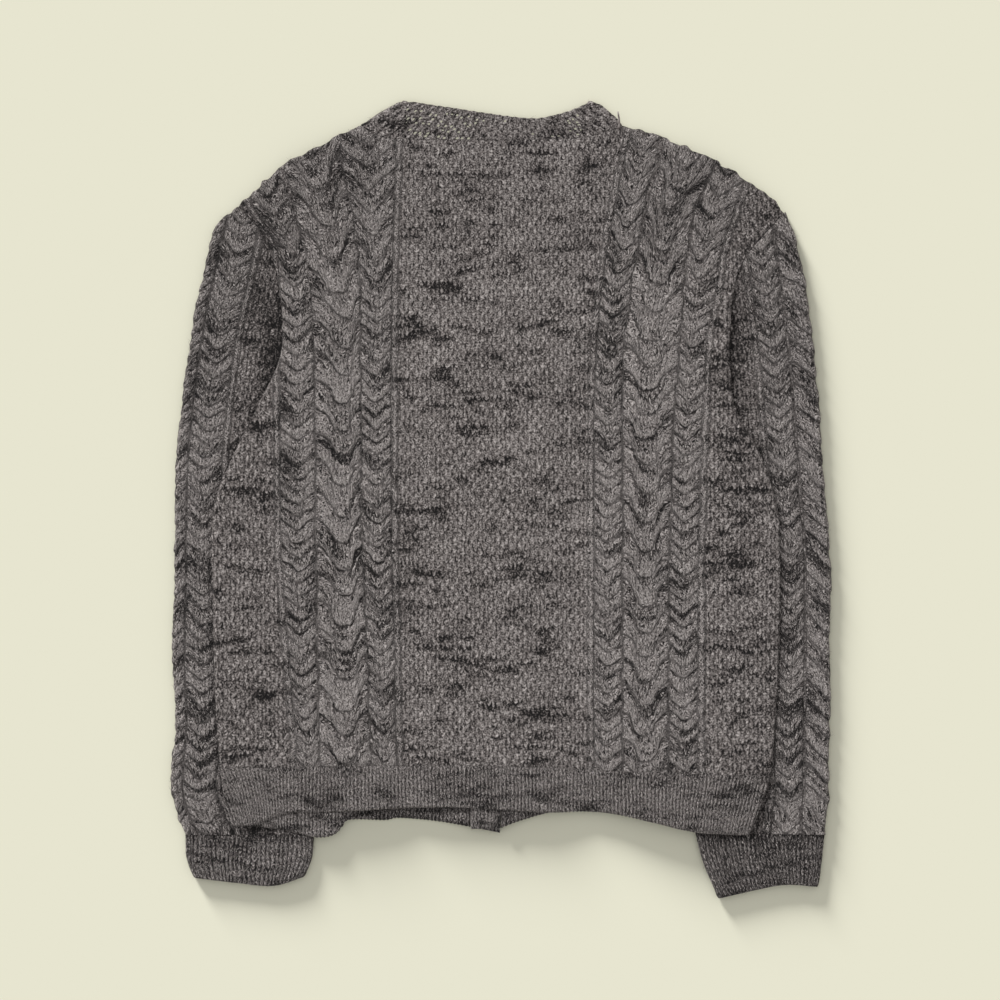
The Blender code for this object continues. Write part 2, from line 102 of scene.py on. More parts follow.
BACK_SINKS_FROM = 95 * MM
BACK_SUNK_AT = 250 * MM
print("one layer of cloth and its gap, mm:", round(LAYER / MM, 2))

# %% [markdown]
# An outline is a row of `At`, each a distance across and a distance up. A sleeve is a row of rungs:
# each joins a place on its outer fold to one on its inner fold, from the shoulder to the cuff.

# %% Outlines
At = namedtuple("At", "across up")
Rung = namedtuple("Rung", "outer_across outer_up inner_across inner_up")

LEFT_SIDE = [At(-280, -268), At(-285, -202), At(-288, -115), At(-289, -20)]
RIGHT_SIDE = [At(270, -276), At(275, -205), At(279, -115), At(278, -22)]
LEFT_ARMHOLE = [
    At(-289, -20), At(-283, 8), At(-269, 41), At(-244, 92), At(-222, 139), At(-218, 172),
    At(-222, 215), At(-230, 248), At(-243, 272), At(-263, 293),
]
RIGHT_ARMHOLE = [
    At(278, -22), At(272, 10), At(255, 54), At(234, 90), At(229, 130), At(228, 165),
    At(234, 216), At(245, 244), At(262, 264), At(283, 287),
]
LEFT_SHOULDER = [At(-263, 293), At(-243, 312), At(-213, 337), At(-161, 364), At(-139, 373)]
RIGHT_SHOULDER = [At(283, 287), At(263, 307), At(216, 337), At(172, 358), At(121, 375)]
BACK_NECK = [At(-139, 373), At(-122, 364), At(-95, 361), At(0, 360), At(75, 362), At(100, 367), At(121, 375)]
BACK_WELT_TOP = [At(-280, -268), At(-150, -266), At(0, -266), At(140, -272), At(270, -276)]
BACK_WELT_BOTTOM = [
    At(-266, -326), At(-243, -324), At(-214, -313), At(-155, -311), At(-60, -307),
    At(42, -312), At(99, -312), At(147, -321), At(195, -332), At(247, -335),
]
BACK_WELT_LEFT = [At(-266, -326), At(-274, -317), At(-278, -290), At(-280, -268)]
BACK_WELT_RIGHT = [At(247, -335), At(254, -320), At(262, -298), At(270, -276)]
LEFT_WELT_TOP = [At(-280, -268), At(-155, -268), At(-31, -268)]
LEFT_WELT_BOTTOM = [
    At(-270, -320), At(-240, -327), At(-217, -330), At(-190, -336.5), At(-176, -337), At(-165, -333.5),
    At(-158, -326), At(-151, -320), At(-116, -320.5), At(-106, -318.5), At(-90, -319), At(-61, -322),
    At(-31, -327),
]
LEFT_WELT_SIDE = [At(-270, -320), At(-278, -290), At(-280, -268)]
RIGHT_WELT_TOP = [At(0, -268), At(140, -272), At(270, -276)]
RIGHT_WELT_BOTTOM = [
    At(0, -328), At(19, -321), At(59, -311), At(110, -307), At(160, -316), At(200, -326), At(244, -329),
]
RIGHT_WELT_SIDE = [At(244, -329), At(262, -298), At(270, -276)]
LEFT_FRONT_EDGE = [
    At(-31, -268), At(-31, -160), At(-31, -50), At(-32, 50), At(-45, 110), At(-66, 180), At(-92, 260),
    At(-120, 330), At(-139, 373),
]
LEFT_FREE_EDGE = [
    At(-1, -268), At(-1, -160), At(-1, -50), At(-2, 55), At(-16, 118), At(-38, 189), At(-64, 269),
    At(-90, 345), At(-100, 396.2),
]
RIGHT_FRONT_EDGE = [
    At(0, -268), At(0, -160), At(0, -50), At(1, 50), At(14, 110), At(36, 180), At(66, 260),
    At(97, 330), At(121, 375),
]
RIGHT_FREE_EDGE = [
    At(-30, -268), At(-30, -160), At(-30, -50), At(-29, 55), At(-15, 118), At(8, 189), At(38, 269),
    At(70, 345), At(93, 395.2),
]
LEFT_FREE_WELT = [At(-1, -333), At(-1, -268)]
RIGHT_FREE_WELT = [At(-30, -329), At(-30, -268)]
LEFT_WELT_EDGE = [At(-31, -327), At(-31, -268)]
RIGHT_WELT_EDGE = [At(0, -328), At(0, -268)]
NECK_FREE_EDGE = [
    At(-100, 396.2), At(-88, 397), At(-59, 394), At(-6, 386), At(30, 382), At(53, 385), At(93, 395.2),
]
LEFT_UNDER = [
    At(-328, 293), At(-220, 194), At(-196, 168), At(-176, 120), At(-163, 50), At(-159, -20),
    At(-161, -100), At(-168, -200), At(-179, -280), At(-188, -335), At(-195, -380),
]
RIGHT_UNDER = [
    At(345, 293), At(229, 187), At(207, 162), At(189, 120), At(175, 50), At(169, -20),
    At(169, -100), At(176, -200), At(189, -290), At(195, -332), At(207, -385),
]
LEFT_RUNGS = [
    Rung(-285, 274, -189, 154), Rung(-293, 248, -184, 140), Rung(-299, 222, -179, 127),
    Rung(-306, 190, -173, 100), Rung(-313, 145, -167, 72), Rung(-319, 100, -163, 46),
    Rung(-324, 45, -160, 12), Rung(-326, -20, -159, -32), Rung(-327, -90, -160, -92),
    Rung(-328, -160, -165, -160), Rung(-326, -225, -171, -225), Rung(-330, -283, -179, -283),
    Rung(-324, -314, -184, -314), Rung(-315, -335, -188, -335),
]
RIGHT_RUNGS = [
    Rung(294, 265, 203, 150), Rung(300, 240, 198, 138), Rung(306, 214, 193, 126),
    Rung(311, 175, 186, 96), Rung(316, 128, 180, 68), Rung(320, 78, 175, 42),
    Rung(325, 10, 171, 0), Rung(330, -60, 169, -60), Rung(330, -120, 170, -120),
    Rung(330, -180, 175, -180), Rung(329, -240, 182, -240), Rung(329, -294, 189, -294),
    Rung(326, -318, 193, -317), Rung(325, -335, 195, -333),
]
LEFT_CUFF_OUTER = [At(-315, -335), At(-314, -358), At(-307, -378)]
LEFT_CUFF_INNER = [At(-188, -335), At(-190, -357), At(-197, -377)]
LEFT_CUFF_END = [At(-307, -378), At(-265, -383), At(-228, -386), At(-197, -377)]
RIGHT_CUFF_OUTER = [At(323, -335), At(320.5, -360), At(317, -387)]
RIGHT_CUFF_INNER = [At(195, -333), At(203, -362), At(218, -398.7)]
RIGHT_CUFF_END = [At(317, -387), At(285, -385), At(256, -390), At(218, -398.7)]
print("rungs of the two sleeves:", len(LEFT_RUNGS), len(RIGHT_RUNGS))

# %% [markdown]
# A Catmull-Rom curve passes through every place of its table, so an outline can be smooth and still
# go exactly where it should. `paced` cuts a line to even steps, and `patch` fills four edges with
# an even grid of places, which is what each panel's mesh starts from.

# %% Curves through the tables
def catmull_rom(before, start, end, after, t):
    return 0.5 * (
        2 * start
        + (end - before) * t
        + (2 * before - 5 * start + 4 * end - after) * t * t
        + (3 * start - before - 3 * end + after) * t * t * t
    )


SAMPLES = 24  # places on each stretch of a curve


def drawn(table):
    """A table's smooth curve as many places, in metres."""
    knots = np.array(table) * MM
    knots = np.vstack([2 * knots[0] - knots[1], knots, 2 * knots[-1] - knots[-2]])
    t = np.linspace(0, 1, SAMPLES, endpoint=False)[:, None]
    pieces = [catmull_rom(*knots[k - 1:k + 3], t) for k in range(1, len(knots) - 2)]
    return np.vstack(pieces + [knots[-2:-1]])


def travel(line):
    """How far along the line each of its places is."""
    return np.concatenate([[0], np.cumsum(np.linalg.norm(np.diff(line, axis=0), axis=1))])


def length_of(line):
    return travel(line)[-1]


def sampled(line, at, known):
    """The line's places at some values of a number that is known for each of its places."""
    return np.column_stack([np.interp(at, known, axis) for axis in line.T])


def paced(line, steps):
    """The line's places at even steps along it."""
    way = travel(line)
    return sampled(line, np.linspace(0, way[-1], steps + 1), way)


def even_curve(table, steps):
    return paced(drawn(table), steps)


def between(places, first_across, last_across, steps):
    """The stretch of a line that runs across, from one distance across to another."""
    order = np.argsort(places[:, 0])
    x, y = places[order, 0], places[order, 1]
    inside = (x > first_across) & (x < last_across)
    across = np.concatenate([[first_across], x[inside], [last_across]])
    return paced(np.column_stack([across, np.interp(across, x, y)]), steps)


def unit(vectors):
    return vectors / np.linalg.norm(vectors, axis=-1, keepdims=True)


def sideways(line):
    """The way to the line's right-hand side, at each of its places."""
    along = unit(np.gradient(line, axis=0))
    return np.column_stack([along[:, 1], -along[:, 0]])


def shifted(line, distance):
    return line + sideways(line) * distance


def patch(bottom, top, left, right):
    """Places that fill four edges: rows from bottom to top, each from left to right."""
    u = np.linspace(0, 1, len(bottom))[None, :, None]
    v = np.linspace(0, 1, len(left))[:, None, None]
    upright = bottom[None] * (1 - v) + top[None] * v
    level = left[:, None] * (1 - u) + right[:, None] * u
    corners = (bottom[0] * (1 - u) + bottom[-1] * u) * (1 - v) + (top[0] * (1 - u) + top[-1] * u) * v
    return upright + level - corners


print("length of the left side, mm:", round(length_of(drawn(LEFT_SIDE)) / MM))

# %% [markdown]
# ## How high each layer lies
# From the floor up lie the sleeves, the fronts and the back. Where a panel crosses what lies under
# it, it climbs a soft ramp. These formulas are the construction's own, on whole arrays at once. At
# the shoulder seam the body comes down to the sleeve, because the two are sewn together there.

# %% Levels
SEAM_SINKS = 5.2 * MM  # how far the body comes down at the shoulder seam
SEAM_SINKS_ABOVE = 200 * MM
SEAM_SUNK_ABOVE = 245 * MM
SEAM_SINKS_WITHIN = 70 * MM


def ease(share):
    """0 to 1 with a soft start and a soft end."""
    share = np.clip(share, 0, 1)
    return share * share * (3 - 2 * share)


def edge_across(table, up):
    """Where a hidden sleeve edge is at a height, and its slope."""
    line = drawn(table)[::-1]
    across = np.interp(up, line[:, 1], line[:, 0])
    return across, np.interp(up, line[:, 1], np.gradient(line[:, 0], line[:, 1]))


def sleeve_share(x, y, margin, ramp):
    """1 where the cloth lies on a sleeve, 0 past the ramp."""
    left, left_slope = edge_across(LEFT_UNDER, y)
    right, right_slope = edge_across(RIGHT_UNDER, y)
    inward = np.where(x < 0, (x - left) / np.hypot(1, left_slope), (right - x) / np.hypot(1, right_slope))
    return ease((ramp + margin - inward) / ramp)


def closed_share(y):
    return ease((PARTED_AT - y) / (PARTED_AT - CLOSED_TO))


def at_seam(y):
    """0 below the shoulder seam, 1 beside it."""
    return ease((y - SEAM_SINKS_ABOVE) / (SEAM_SUNK_ABOVE - SEAM_SINKS_ABOVE))


def seam_sink(x, y):
    """How far the body comes down beside the shoulder seam, where body and sleeve are one surface."""
    on_left = np.where(x < 0, 1.0, 0.0)
    sunk = np.zeros_like(x)
    for table, here in ((LEFT_ARMHOLE, on_left), (RIGHT_ARMHOLE, 1 - on_left)):
        line = drawn(table)
        beside = np.abs(x - np.interp(y, line[:, 1], line[:, 0]))
        sunk = sunk + here * ease(1 - beside / SEAM_SINKS_WITHIN)
    return SEAM_SINKS * sunk * at_seam(y)


def front_level(x, y, beside_band, band_ramp, band_level):
    lifted = (SLEEVE_HEIGHT + GAP) * sleeve_share(x, y, FRONT_MARGIN, FRONT_RAMP)
    by_band = ease(1 - beside_band / band_ramp)
    level = np.maximum(lifted, band_level * by_band * closed_share(y))
    return np.maximum(level - seam_sink(x, y), 0)


def front_left_level(x, y):
    return front_level(x, y, LEFT_BAND_SEAM - x, LEFT_BAND_RAMP, LEFT_BAND_LEVEL)


def front_right_level(x, y):
    return front_level(x, y, x - RIGHT_BAND_SEAM, RIGHT_BAND_RAMP, RIGHT_BAND_LEVEL)


def back_level(x, y):
    lifted = (SLEEVE_HEIGHT + GAP) * sleeve_share(x, y, BACK_MARGIN, BACK_RAMP)
    beside = np.maximum(LEFT_BAND_SEAM - x, x - RIGHT_BAND_SEAM) - BACK_OVER_BAND_MARGIN
    by_band = ease(1 - beside / BACK_OVER_BAND_RAMP)
    held_up = ease((BACK_SUNK_AT - y) / (BACK_SUNK_AT - BACK_SINKS_FROM))
    level = np.maximum(lifted, RIGHT_BAND_LEVEL * by_band * held_up)
    return LAYER + np.maximum(level - seam_sink(x, y), 0)


print("the back over a sleeve lies at, mm:", round((LAYER + SLEEVE_HEIGHT + GAP) / MM, 1))


# %% [markdown]
# ## Stitches as heights
# Knitting is loops, but what the eye reads is their relief. Each stitch pattern is a formula that
# gives a height for every place on the panel. It also gives every place its stitch coordinates:
# `wale` counts stitches across and `course` counts rows along. The wool's material draws the two
# legs of each loop from them, so the fine strokes always run the way the strands do.

# %% Gauge and unevenness
STITCH = 4.35 * MM
COURSE = 3.35 * MM


def wander(x, y, size, seed):
    """Soft unevenness from -1 to 1: random heights on a lattice, eased between its points."""
    heights = np.random.RandomState(seed).uniform(-1, 1, (64, 64))
    column, row = np.floor(x / size).astype(int), np.floor(y / size).astype(int)
    u, v = ease(x / size - column), ease(y / size - row)
    low = heights[row % 64, column % 64] * (1 - u) + heights[row % 64, (column + 1) % 64] * u
    high = heights[(row + 1) % 64, column % 64] * (1 - u) + heights[(row + 1) % 64, (column + 1) % 64] * u
    return low * (1 - v) + high * v


def round_over(distance, radius):
    """0 at a crease or an edge, rising like a quarter circle to 1 at the radius."""
    short = 1 - np.clip(distance / radius, 0, 1)
    return np.sqrt(np.clip(1 - short * short, 0, 1))


def wrapped(value, period):
    """The value's offset from the nearest whole period."""
    return (value + period / 2) % period - period / 2


print("stitches to 100 mm:", round(100 * MM / STITCH), "rows to 100 mm:", round(100 * MM / COURSE))

# %% [markdown]
# Irish moss stitch shows upright ovals, each two stitches high, set like bricks. Two lattices of
# ovals, one shifted by half a repeat, make the whole pattern. A `Knit` holds a pattern's height,
# its stitch coordinates, the painted shade of each place, and the strands of its cables.

# %% Moss stitch
MOSS_HEIGHT = 1.1 * MM
OVAL_WIDE = 0.78  # stitches, from an oval's middle to its side
OVAL_TALL = 1.8  # rows, from its middle to its end
Knit = namedtuple("Knit", "height wale course moss cavity across row strand crease span")


def without_strands(height, wale, course, cavity, across, row, moss=0):
    """A stitch pattern that has no cable in it."""
    flat = np.zeros_like(height)
    return Knit(height, wale, course, flat + moss, cavity, across, row, flat, flat, flat + 1)


def moss_stitch(x, y):
    wale = x / STITCH + 0.2 * wander(x, y, 9 * MM, 3) + 0.3 * wander(x, y, 50 * MM, 2)
    course = y / COURSE + 0.4 * wander(x, y, 11 * MM, 4) + 0.5 * wander(x, y, 60 * MM, 5)
    ovals = []
    for shift in (0, 1):
        off_across = wrapped(wale + shift, 2) / OVAL_WIDE
        off_up = wrapped(course + 2 * shift, 4) / OVAL_TALL
        ovals.append(1 - off_across ** 2 - off_up ** 2)
    oval = np.sqrt(np.clip(np.maximum(*ovals), 0, 1))
    height = MOSS_HEIGHT * oval * (0.75 + 0.3 * wander(x, y, 7 * MM, 6))
    # painted shade in the pits between the ovals
    return without_strands(height, wale, course, 0.3 * (1 - oval) ** 2, x, y, moss=1)


print("a moss oval, mm:", round(2 * OVAL_WIDE * STITCH / MM, 1), "x", round(2 * OVAL_TALL * COURSE / MM, 1))


# %% [markdown]
# A horseshoe cable is two mirrored strands that keep crossing over their middle. Each repeat ends
# in a U-shaped crease with its tip towards the hem. `Span` rows say where a column of cable starts,
# has its tips and ends, at a few heights, because the columns lean out towards the shoulders.

# %% The cables' columns
Span = namedtuple("Span", "up left tip right")
Cable = namedtuple("Cable", "spans repeat top_repeat wide rise tongue lean height seed")

LEFT_OUTER = Cable(
    [
        Span(-275, -204, -193, -181), Span(-240, -204.5, -193.5, -181.5), Span(-140, -213, -200, -184),
        Span(-40, -220, -203, -185.5), Span(100, -221, -203, -185.5), Span(180, -220, -204, -188),
        Span(250, -222, -209, -193), Span(295, -248, -231, -210), Span(330, -262, -244, -222),
    ],
    13.4, 21, False, 1.0, 0.15, 42, 2.6, 11,
)
LEFT_WIDE = Cable(
    [
        Span(-275, -181, -153.5, -130), Span(-240, -181, -153.5, -130), Span(-40, -184.5, -156, -139.5),
        Span(100, -185, -156, -140), Span(180, -188, -150, -140), Span(220, -192, -163, -140),
        Span(260, -197, -171, -145), Span(300, -208, -179, -151), Span(345, -220, -189, -158),
    ],
    27.5, 41, True, 1.0, 0.3, 42, 3.6, 12,
)
LEFT_INNER = Cable(
    [
        Span(-275, -129.5, -116.5, -103.5), Span(-240, -129.5, -116.5, -104.5), Span(-40, -139, -124, -109),
        Span(100, -139.5, -124.5, -109.7), Span(220, -140, -124, -108.5), Span(260, -145, -127, -108),
        Span(300, -151, -130, -107), Span(335, -158, -134, -105.5), Span(375, -164, -138, -104),
    ],
    13.4, 24, False, 1.05, 0.15, 42, 2.7, 13,
)
RIGHT_INNER = Cable(
    [
        Span(-280, 93, 106.6, 120.5), Span(-60, 93, 106.6, 120.5), Span(100, 93, 107, 121),
        Span(160, 96, 110, 122.5), Span(210, 101, 115, 129.5), Span(275, 110, 125, 140),
        Span(305, 116, 131, 146), Span(335, 123, 138, 153), Span(375, 131, 146, 162),
    ],
    13.4, 24, False, 0.9, 0.15, 42, 2.6, 14,
)
RIGHT_WIDE = Cable(
    [
        Span(-280, 121.5, 144, 167), Span(-60, 121.5, 144, 167), Span(60, 121.5, 144.5, 171),
        Span(160, 123, 149, 178), Span(210, 130, 156.5, 181.5), Span(260, 139, 161, 187),
        Span(295, 147, 170, 194), Span(325, 156, 182, 209), Span(360, 165, 192, 218),
    ],
    27.0, 41, True, 1.05, 0.3, 42, 3.6, 15,
)
RIGHT_OUTER = Cable(
    [
        Span(-280, 168, 182.5, 197), Span(-60, 168, 182.5, 197), Span(60, 172, 185, 200),
        Span(160, 179, 190, 205), Span(210, 182.5, 197, 215), Span(253, 188, 201, 221),
        Span(295, 195, 213, 235), Span(325, 210, 226, 245), Span(350, 219, 236, 254),
    ],
    13.4, 22, False, 0.9, 0.15, 42, 2.6, 16,
)
BODY_CABLES = [LEFT_OUTER, LEFT_WIDE, LEFT_INNER, RIGHT_INNER, RIGHT_WIDE, RIGHT_OUTER]
print("repeats of the cables, mm:", [cable.repeat for cable in BODY_CABLES])

# %% [markdown]
# The creases of a cable are its rhythm, and no two repeats of a hand-knitted one are quite alike:
# `crease_tips` draws an uneven row of them, and they grow towards the shoulder, where the knitting
# is stretched. Each crease also gets its own depth and slant.

# %% Creases
TOP_FROM = 185 * MM  # above this the repeats grow towards the shoulder
TOP_AT = 250 * MM
BODY_FOOT = -300 * MM
BODY_HEAD = 420 * MM


def span_at(cable, up):
    """The column's left side, tips and right side at a height."""
    ups = [span.up * MM for span in cable.spans]
    sides = []
    for side in ("left", "tip", "right"):
        sides.append(np.interp(up, ups, [getattr(span, side) * MM for span in cable.spans]))
    return sides


def crease_tips(cable, foot, head):
    """Heights of the creases' tips, from below the welt to past the shoulder, none quite even."""
    uneven = np.random.RandomState(cable.seed)
    tips = [foot - cable.repeat * MM * uneven.uniform(0.5, 1.5)]
    while tips[-1] < head:
        grown = float(ease((tips[-1] - TOP_FROM) / (TOP_AT - TOP_FROM)))
        repeat = cable.repeat + (cable.top_repeat - cable.repeat) * grown
        tips.append(tips[-1] + repeat * MM * uneven.uniform(0.88, 1.12))
    depths = uneven.uniform(0.35, 1.0, len(tips))
    slants = uneven.uniform(-0.12, 0.12, len(tips))
    return np.array(tips), depths, slants


TIPS = [crease_tips(cable, BODY_FOOT, BODY_HEAD) for cable in BODY_CABLES]
print("creases in each cable:", [len(tips) for tips, _, _ in TIPS])

# %% [markdown]
# Every place in a column belongs to one strand. The formula follows the crease line, which is flat
# at its tip and climbs to both sides, and finds how far up its own strand the place lies. A strand
# is thick and round at its lower end and thin where it comes out from under the next one.

# %% Cable stitch
WIDE_CREASE = drawn([At(0, 0), At(18, 3), At(32, 14), At(43, 36), At(56, 60), At(78, 82), At(100, 94)])
NARROW_CREASE = drawn([At(0, 0), At(15, 5), At(35, 24), At(60, 52), At(85, 78), At(100, 88)])
STRAND_EDGE = 3.2 * MM
SWAY = 1.3 * MM  # how far a cable's middle wanders, and how far its creases do
OVERLAP = 0.6 * MM


def cable_stitch(x, y, cable, sides, tips, depths, slants):
    """One column of cable; its sides are where it starts, has its tips and ends."""
    left, middle, right = sides
    broken = np.clip(0.6 + 1.1 * wander(x, y, 5.5 * MM, cable.seed + 80), 0.02, 1.25)
    off = x - middle + SWAY * wander(x * 0 + 0.5 * MM, y, 19 * MM, cable.seed + 40)
    half = np.where(off < 0, middle - left, right - middle) + OVERLAP
    share = np.abs(off) / half
    crease_line = WIDE_CREASE if cable.wide else NARROW_CREASE
    shape = np.interp(share, crease_line[:, 0] * 10, crease_line[:, 1] * 10)
    local = np.interp(y, tips[1:], np.diff(tips))
    row = y - cable.rise * shape * local + SWAY * wander(x, y, 10 * MM, cable.seed + 20)
    k = np.clip(np.searchsorted(tips, row) - 1, 0, len(tips) - 2)
    tilted = row + slants[k] * off * 0.9
    k = np.clip(np.searchsorted(tips, tilted) - 1, 0, len(tips) - 2)
    above_low = tilted - tips[k]
    span = tips[k + 1] - tips[k]
    part = above_low / span
    # thick and round at its lower end, thin where it comes out from under the next strand
    lower_end = round_over(above_low, STRAND_EDGE + 0.1 * span)
    thins_out = 1 - 0.62 * depths[k + 1] * ease((part - 0.15) / 0.85)
    strand = (1 - depths[k] * (1 - lower_end)) * thins_out
    to_side = np.clip((1 - share) * half, 0, None)
    side = round_over(to_side, 0.45 * half)
    height = cable.height * MM * (0.2 + 0.8 * side * strand)
    # painted shade: darker where the strand lies low, and in the gutter at each side of the column
    hollow = 0.22 * (1 - side * strand)
    strand_number = np.interp(tilted, tips, np.arange(len(tips)))
    # how strongly the wool paints the dark crease line at each strand's end
    crease = (depths[k] * (1 - ease(part)) + depths[k + 1] * ease(part)) * broken
    gutter = np.clip(0.2 + 0.5 * wander(x, y, 6 * MM, 9), 0, 1) * np.exp(-(to_side / (1.5 * MM)) ** 2)
    angle = math.radians(cable.lean) * ease((share - cable.tongue) / (1 - cable.tongue))
    along = above_low - span / 2
    wale = np.sign(off) * (np.abs(off) * np.cos(angle) - along * np.sin(angle)) / STITCH + 0.5
    course = (np.abs(off) * np.sin(angle) + along * np.cos(angle)) / COURSE + 17.3 * k
    return Knit(
        height, wale, course, np.zeros_like(x), gutter + hollow, x, row, strand_number, crease, span,
    )


# %% [markdown]
# The body is moss stitch with three cables on each side. A single plain rib frames each group of
# cables, as knitters do to make them stand out.

# %% The body's pattern
RIB_LINE = 6.5 * MM  # the width of a plain rib beside a cable
RIB_LINE_HEIGHT = 1.6 * MM


def overlaid(base, above, where):
    """One pattern laid over another where the condition holds."""
    return Knit(*[np.where(where, new, old) for old, new in zip(base, above)])


def rib_line(x, y, start):
    """One plain rib beside a column of cable."""
    off = x - start
    to_side = np.minimum(off, RIB_LINE - off)
    height = RIB_LINE_HEIGHT * (0.3 + 0.7 * round_over(to_side, 2.6 * MM))
    # painted shade at the rib's sides; along its middle the rib is painted lighter
    cavity = 0.3 * np.exp(-(to_side / (0.8 * MM)) ** 2) - 0.15
    return without_strands(height, (off - RIB_LINE / 2) / STITCH + 0.5, y / COURSE, cavity, x, y)


def cabled_strand(x, y, cable, sides):
    """A column's strand numbers, carried on over the rib beside it so that they don't jump there."""
    return cable_stitch(x, y, cable, sides, *TIPS[BODY_CABLES.index(cable)]).strand


def body_stitch(x, y):
    knit = moss_stitch(x, y)
    x = x + 1.5 * MM * wander(x, y, 7 * MM, 77)  # no column is ruler straight
    for cable, (tips, depths, slants) in zip(BODY_CABLES, TIPS):
        sides = span_at(cable, y)
        cabled = cable_stitch(x, y, cable, sides, tips, depths, slants)
        knit = overlaid(knit, cabled, (x > sides[0]) & (x < sides[2]))
    for cable, outward in ((LEFT_OUTER, -1), (LEFT_INNER, 1), (RIGHT_INNER, -1), (RIGHT_OUTER, 1)):
        sides = span_at(cable, y)
        start = sides[0] - RIB_LINE if outward < 0 else sides[2]
        inside = (x >= start) & (x <= start + RIB_LINE)
        beside = rib_line(x, y, start)._replace(strand=cabled_strand(x, y, cable, sides))
        knit = overlaid(knit, beside, inside)
    return knit


print("cables across the body:", len(BODY_CABLES))


# %% [markdown]
# One-by-one rib is a row of rounded ridges with narrow gutters between. `rib` counts the ridges.

# %% Rib
def rib_stitch(rib, along, height, across):
    off = np.abs(wrapped(rib, 1)) * 2
    uneven = 1 + 0.18 * wander(rib * 4 * MM, along, 9 * MM, 8)
    ridge = round_over(1 - off, 0.85)
    # painted shade in the gutters between the ridges
    cavity = 0.6 * (1 - ridge) ** 1.2
    return without_strands(height * ridge * uneven, rib + 0.5, along / COURSE, cavity, across, along)


print("a rib's height half way down its side:", round(float(round_over(0.5, 0.85)), 2))


# %% [markdown]
# ## From heights to shells
# A panel is a fine grid for the side that shows and a coarse one for the side that doesn't, joined
# all round the rim, so that it is a closed wall of cloth at half the triangles.

# %% Faces of a shell
COARSE = 4  # one step of the plain side covers this many of the knitted side


def grid_faces(numbers, ring):
    """Quads of a grid of vertex numbers; a ring also joins its last column to its first."""
    if ring:
        numbers = np.column_stack([numbers, numbers[:, 0]])
    low, high = numbers[:-1], numbers[1:]
    corners = [low[:, :-1], low[:, 1:], high[:, 1:], high[:, :-1]]
    return np.stack(corners, axis=-1).reshape(-1, 4)


def rim_faces(fine, coarse):
    """Faces between a fine edge and the coarse edge that runs beside it."""
    step = (len(fine) - 1) // (len(coarse) - 1)
    faces = []
    for k in range(len(coarse) - 1):
        faces.append([coarse[k], coarse[k + 1], *fine[k * step:(k + 1) * step + 1][::-1]])
    return faces


def rim_of(numbers):
    """The four edges of a grid, anticlockwise."""
    return [numbers[0], numbers[:, -1], numbers[-1, ::-1], numbers[::-1, 0]]


def pierced(faces, fine, coarse, holes):
    """Take one knitted cell and the plain cell under it away for each hole, and line the hole."""
    fine_wide, coarse_wide = fine.shape[1] - 1, coarse.shape[1] - 1
    lining, gone = [], []
    for row, column in holes:
        under = (row // COARSE) * coarse_wide + column // COARSE
        above = faces[row * fine_wide + column]
        below = faces[(fine.shape[0] - 1) * fine_wide + under][::-1]
        gone += [row * fine_wide + column, (fine.shape[0] - 1) * fine_wide + under]
        for k in range(4):
            lining.append([above[k], above[(k + 1) % 4], below[(k + 1) % 4], below[k]])
    gone = set(gone)
    return [face for number, face in enumerate(faces) if number not in gone], lining


# %% [markdown]
# `shell` puts a wall together and hands the stitch coordinates on to its vertices as attributes,
# where the material can read them. A ring closes on itself, as a sleeve does.

# %% Shells
def carried(mesh, name, *values):
    """Three numbers for each vertex, which the wool's material reads."""
    attribute = mesh.attributes.new(name, "FLOAT_VECTOR", "POINT")
    attribute.data.foreach_set("vector", np.column_stack(values).ravel())


def linked(name, mesh):
    made = bpy.data.objects.new(name, mesh)
    bpy.context.scene.collection.objects.link(made)
    return made


def shell(name, outer, inner, knit, material, ring=False, holes=()):
    """A closed wall of cloth from its knitted side, its plain side and its stitches."""
    fine = np.arange(outer.shape[0] * outer.shape[1]).reshape(outer.shape[:2])
    coarse = fine.size + np.arange(inner.shape[0] * inner.shape[1]).reshape(inner.shape[:2])
    faces = grid_faces(fine, ring).tolist() + grid_faces(coarse, ring)[:, ::-1].tolist()
    faces, lining = pierced(faces, fine, coarse, holes)
    rim_starts = len(faces)
    faces += lining
    if ring:
        closed_fine = np.column_stack([fine, fine[:, 0]])
        closed_coarse = np.column_stack([coarse, coarse[:, 0]])
        faces += rim_faces(closed_fine[0], closed_coarse[0])
        faces += rim_faces(closed_fine[-1, ::-1], closed_coarse[-1, ::-1])
    else:
        for fine_edge, coarse_edge in zip(rim_of(fine), rim_of(coarse)):
            faces += rim_faces(fine_edge.tolist(), coarse_edge.tolist())
    mesh = bpy.data.meshes.new(name)
    places = np.vstack([outer.reshape(-1, 3), inner.reshape(-1, 3)])
    mesh.from_pydata(places.tolist(), [], faces)
    rows, columns = inner.shape[:2]
    row_step = (outer.shape[0] - 1) // (rows - 1)
    column_step = outer.shape[1] // columns if ring else (outer.shape[1] - 1) // (columns - 1)
    knit = [np.broadcast_to(values, outer.shape[:2]) for values in knit]
    both = Knit(*[np.concatenate([v.ravel(), v[::row_step, ::column_step].ravel()]) for v in knit])
    carried(mesh, "stitch", both.wale, both.course, both.moss)
    carried(mesh, "yarn_row", both.across, both.row, both.cavity)
    carried(mesh, "strand", both.strand, both.crease, both.span)
    mesh.polygons.foreach_set("use_smooth", np.arange(len(faces)) < rim_starts)
    mesh.materials.append(material)
    mesh.validate()
    print(f"{name}: {sum(len(face) - 2 for face in faces)} triangles")
    return linked(name, mesh)


def from_edge(places, row=None, column=None):
    """How far each place is from the grid's given row or column."""
    edge = places[row][None] if row is not None else places[:, column][:, None]
    return np.linalg.norm(places - edge, axis=2)


def edge_drop(distance, radius, depth):
    """How far the knitted side comes down towards an edge."""
    return depth * (1 - round_over(distance, radius))


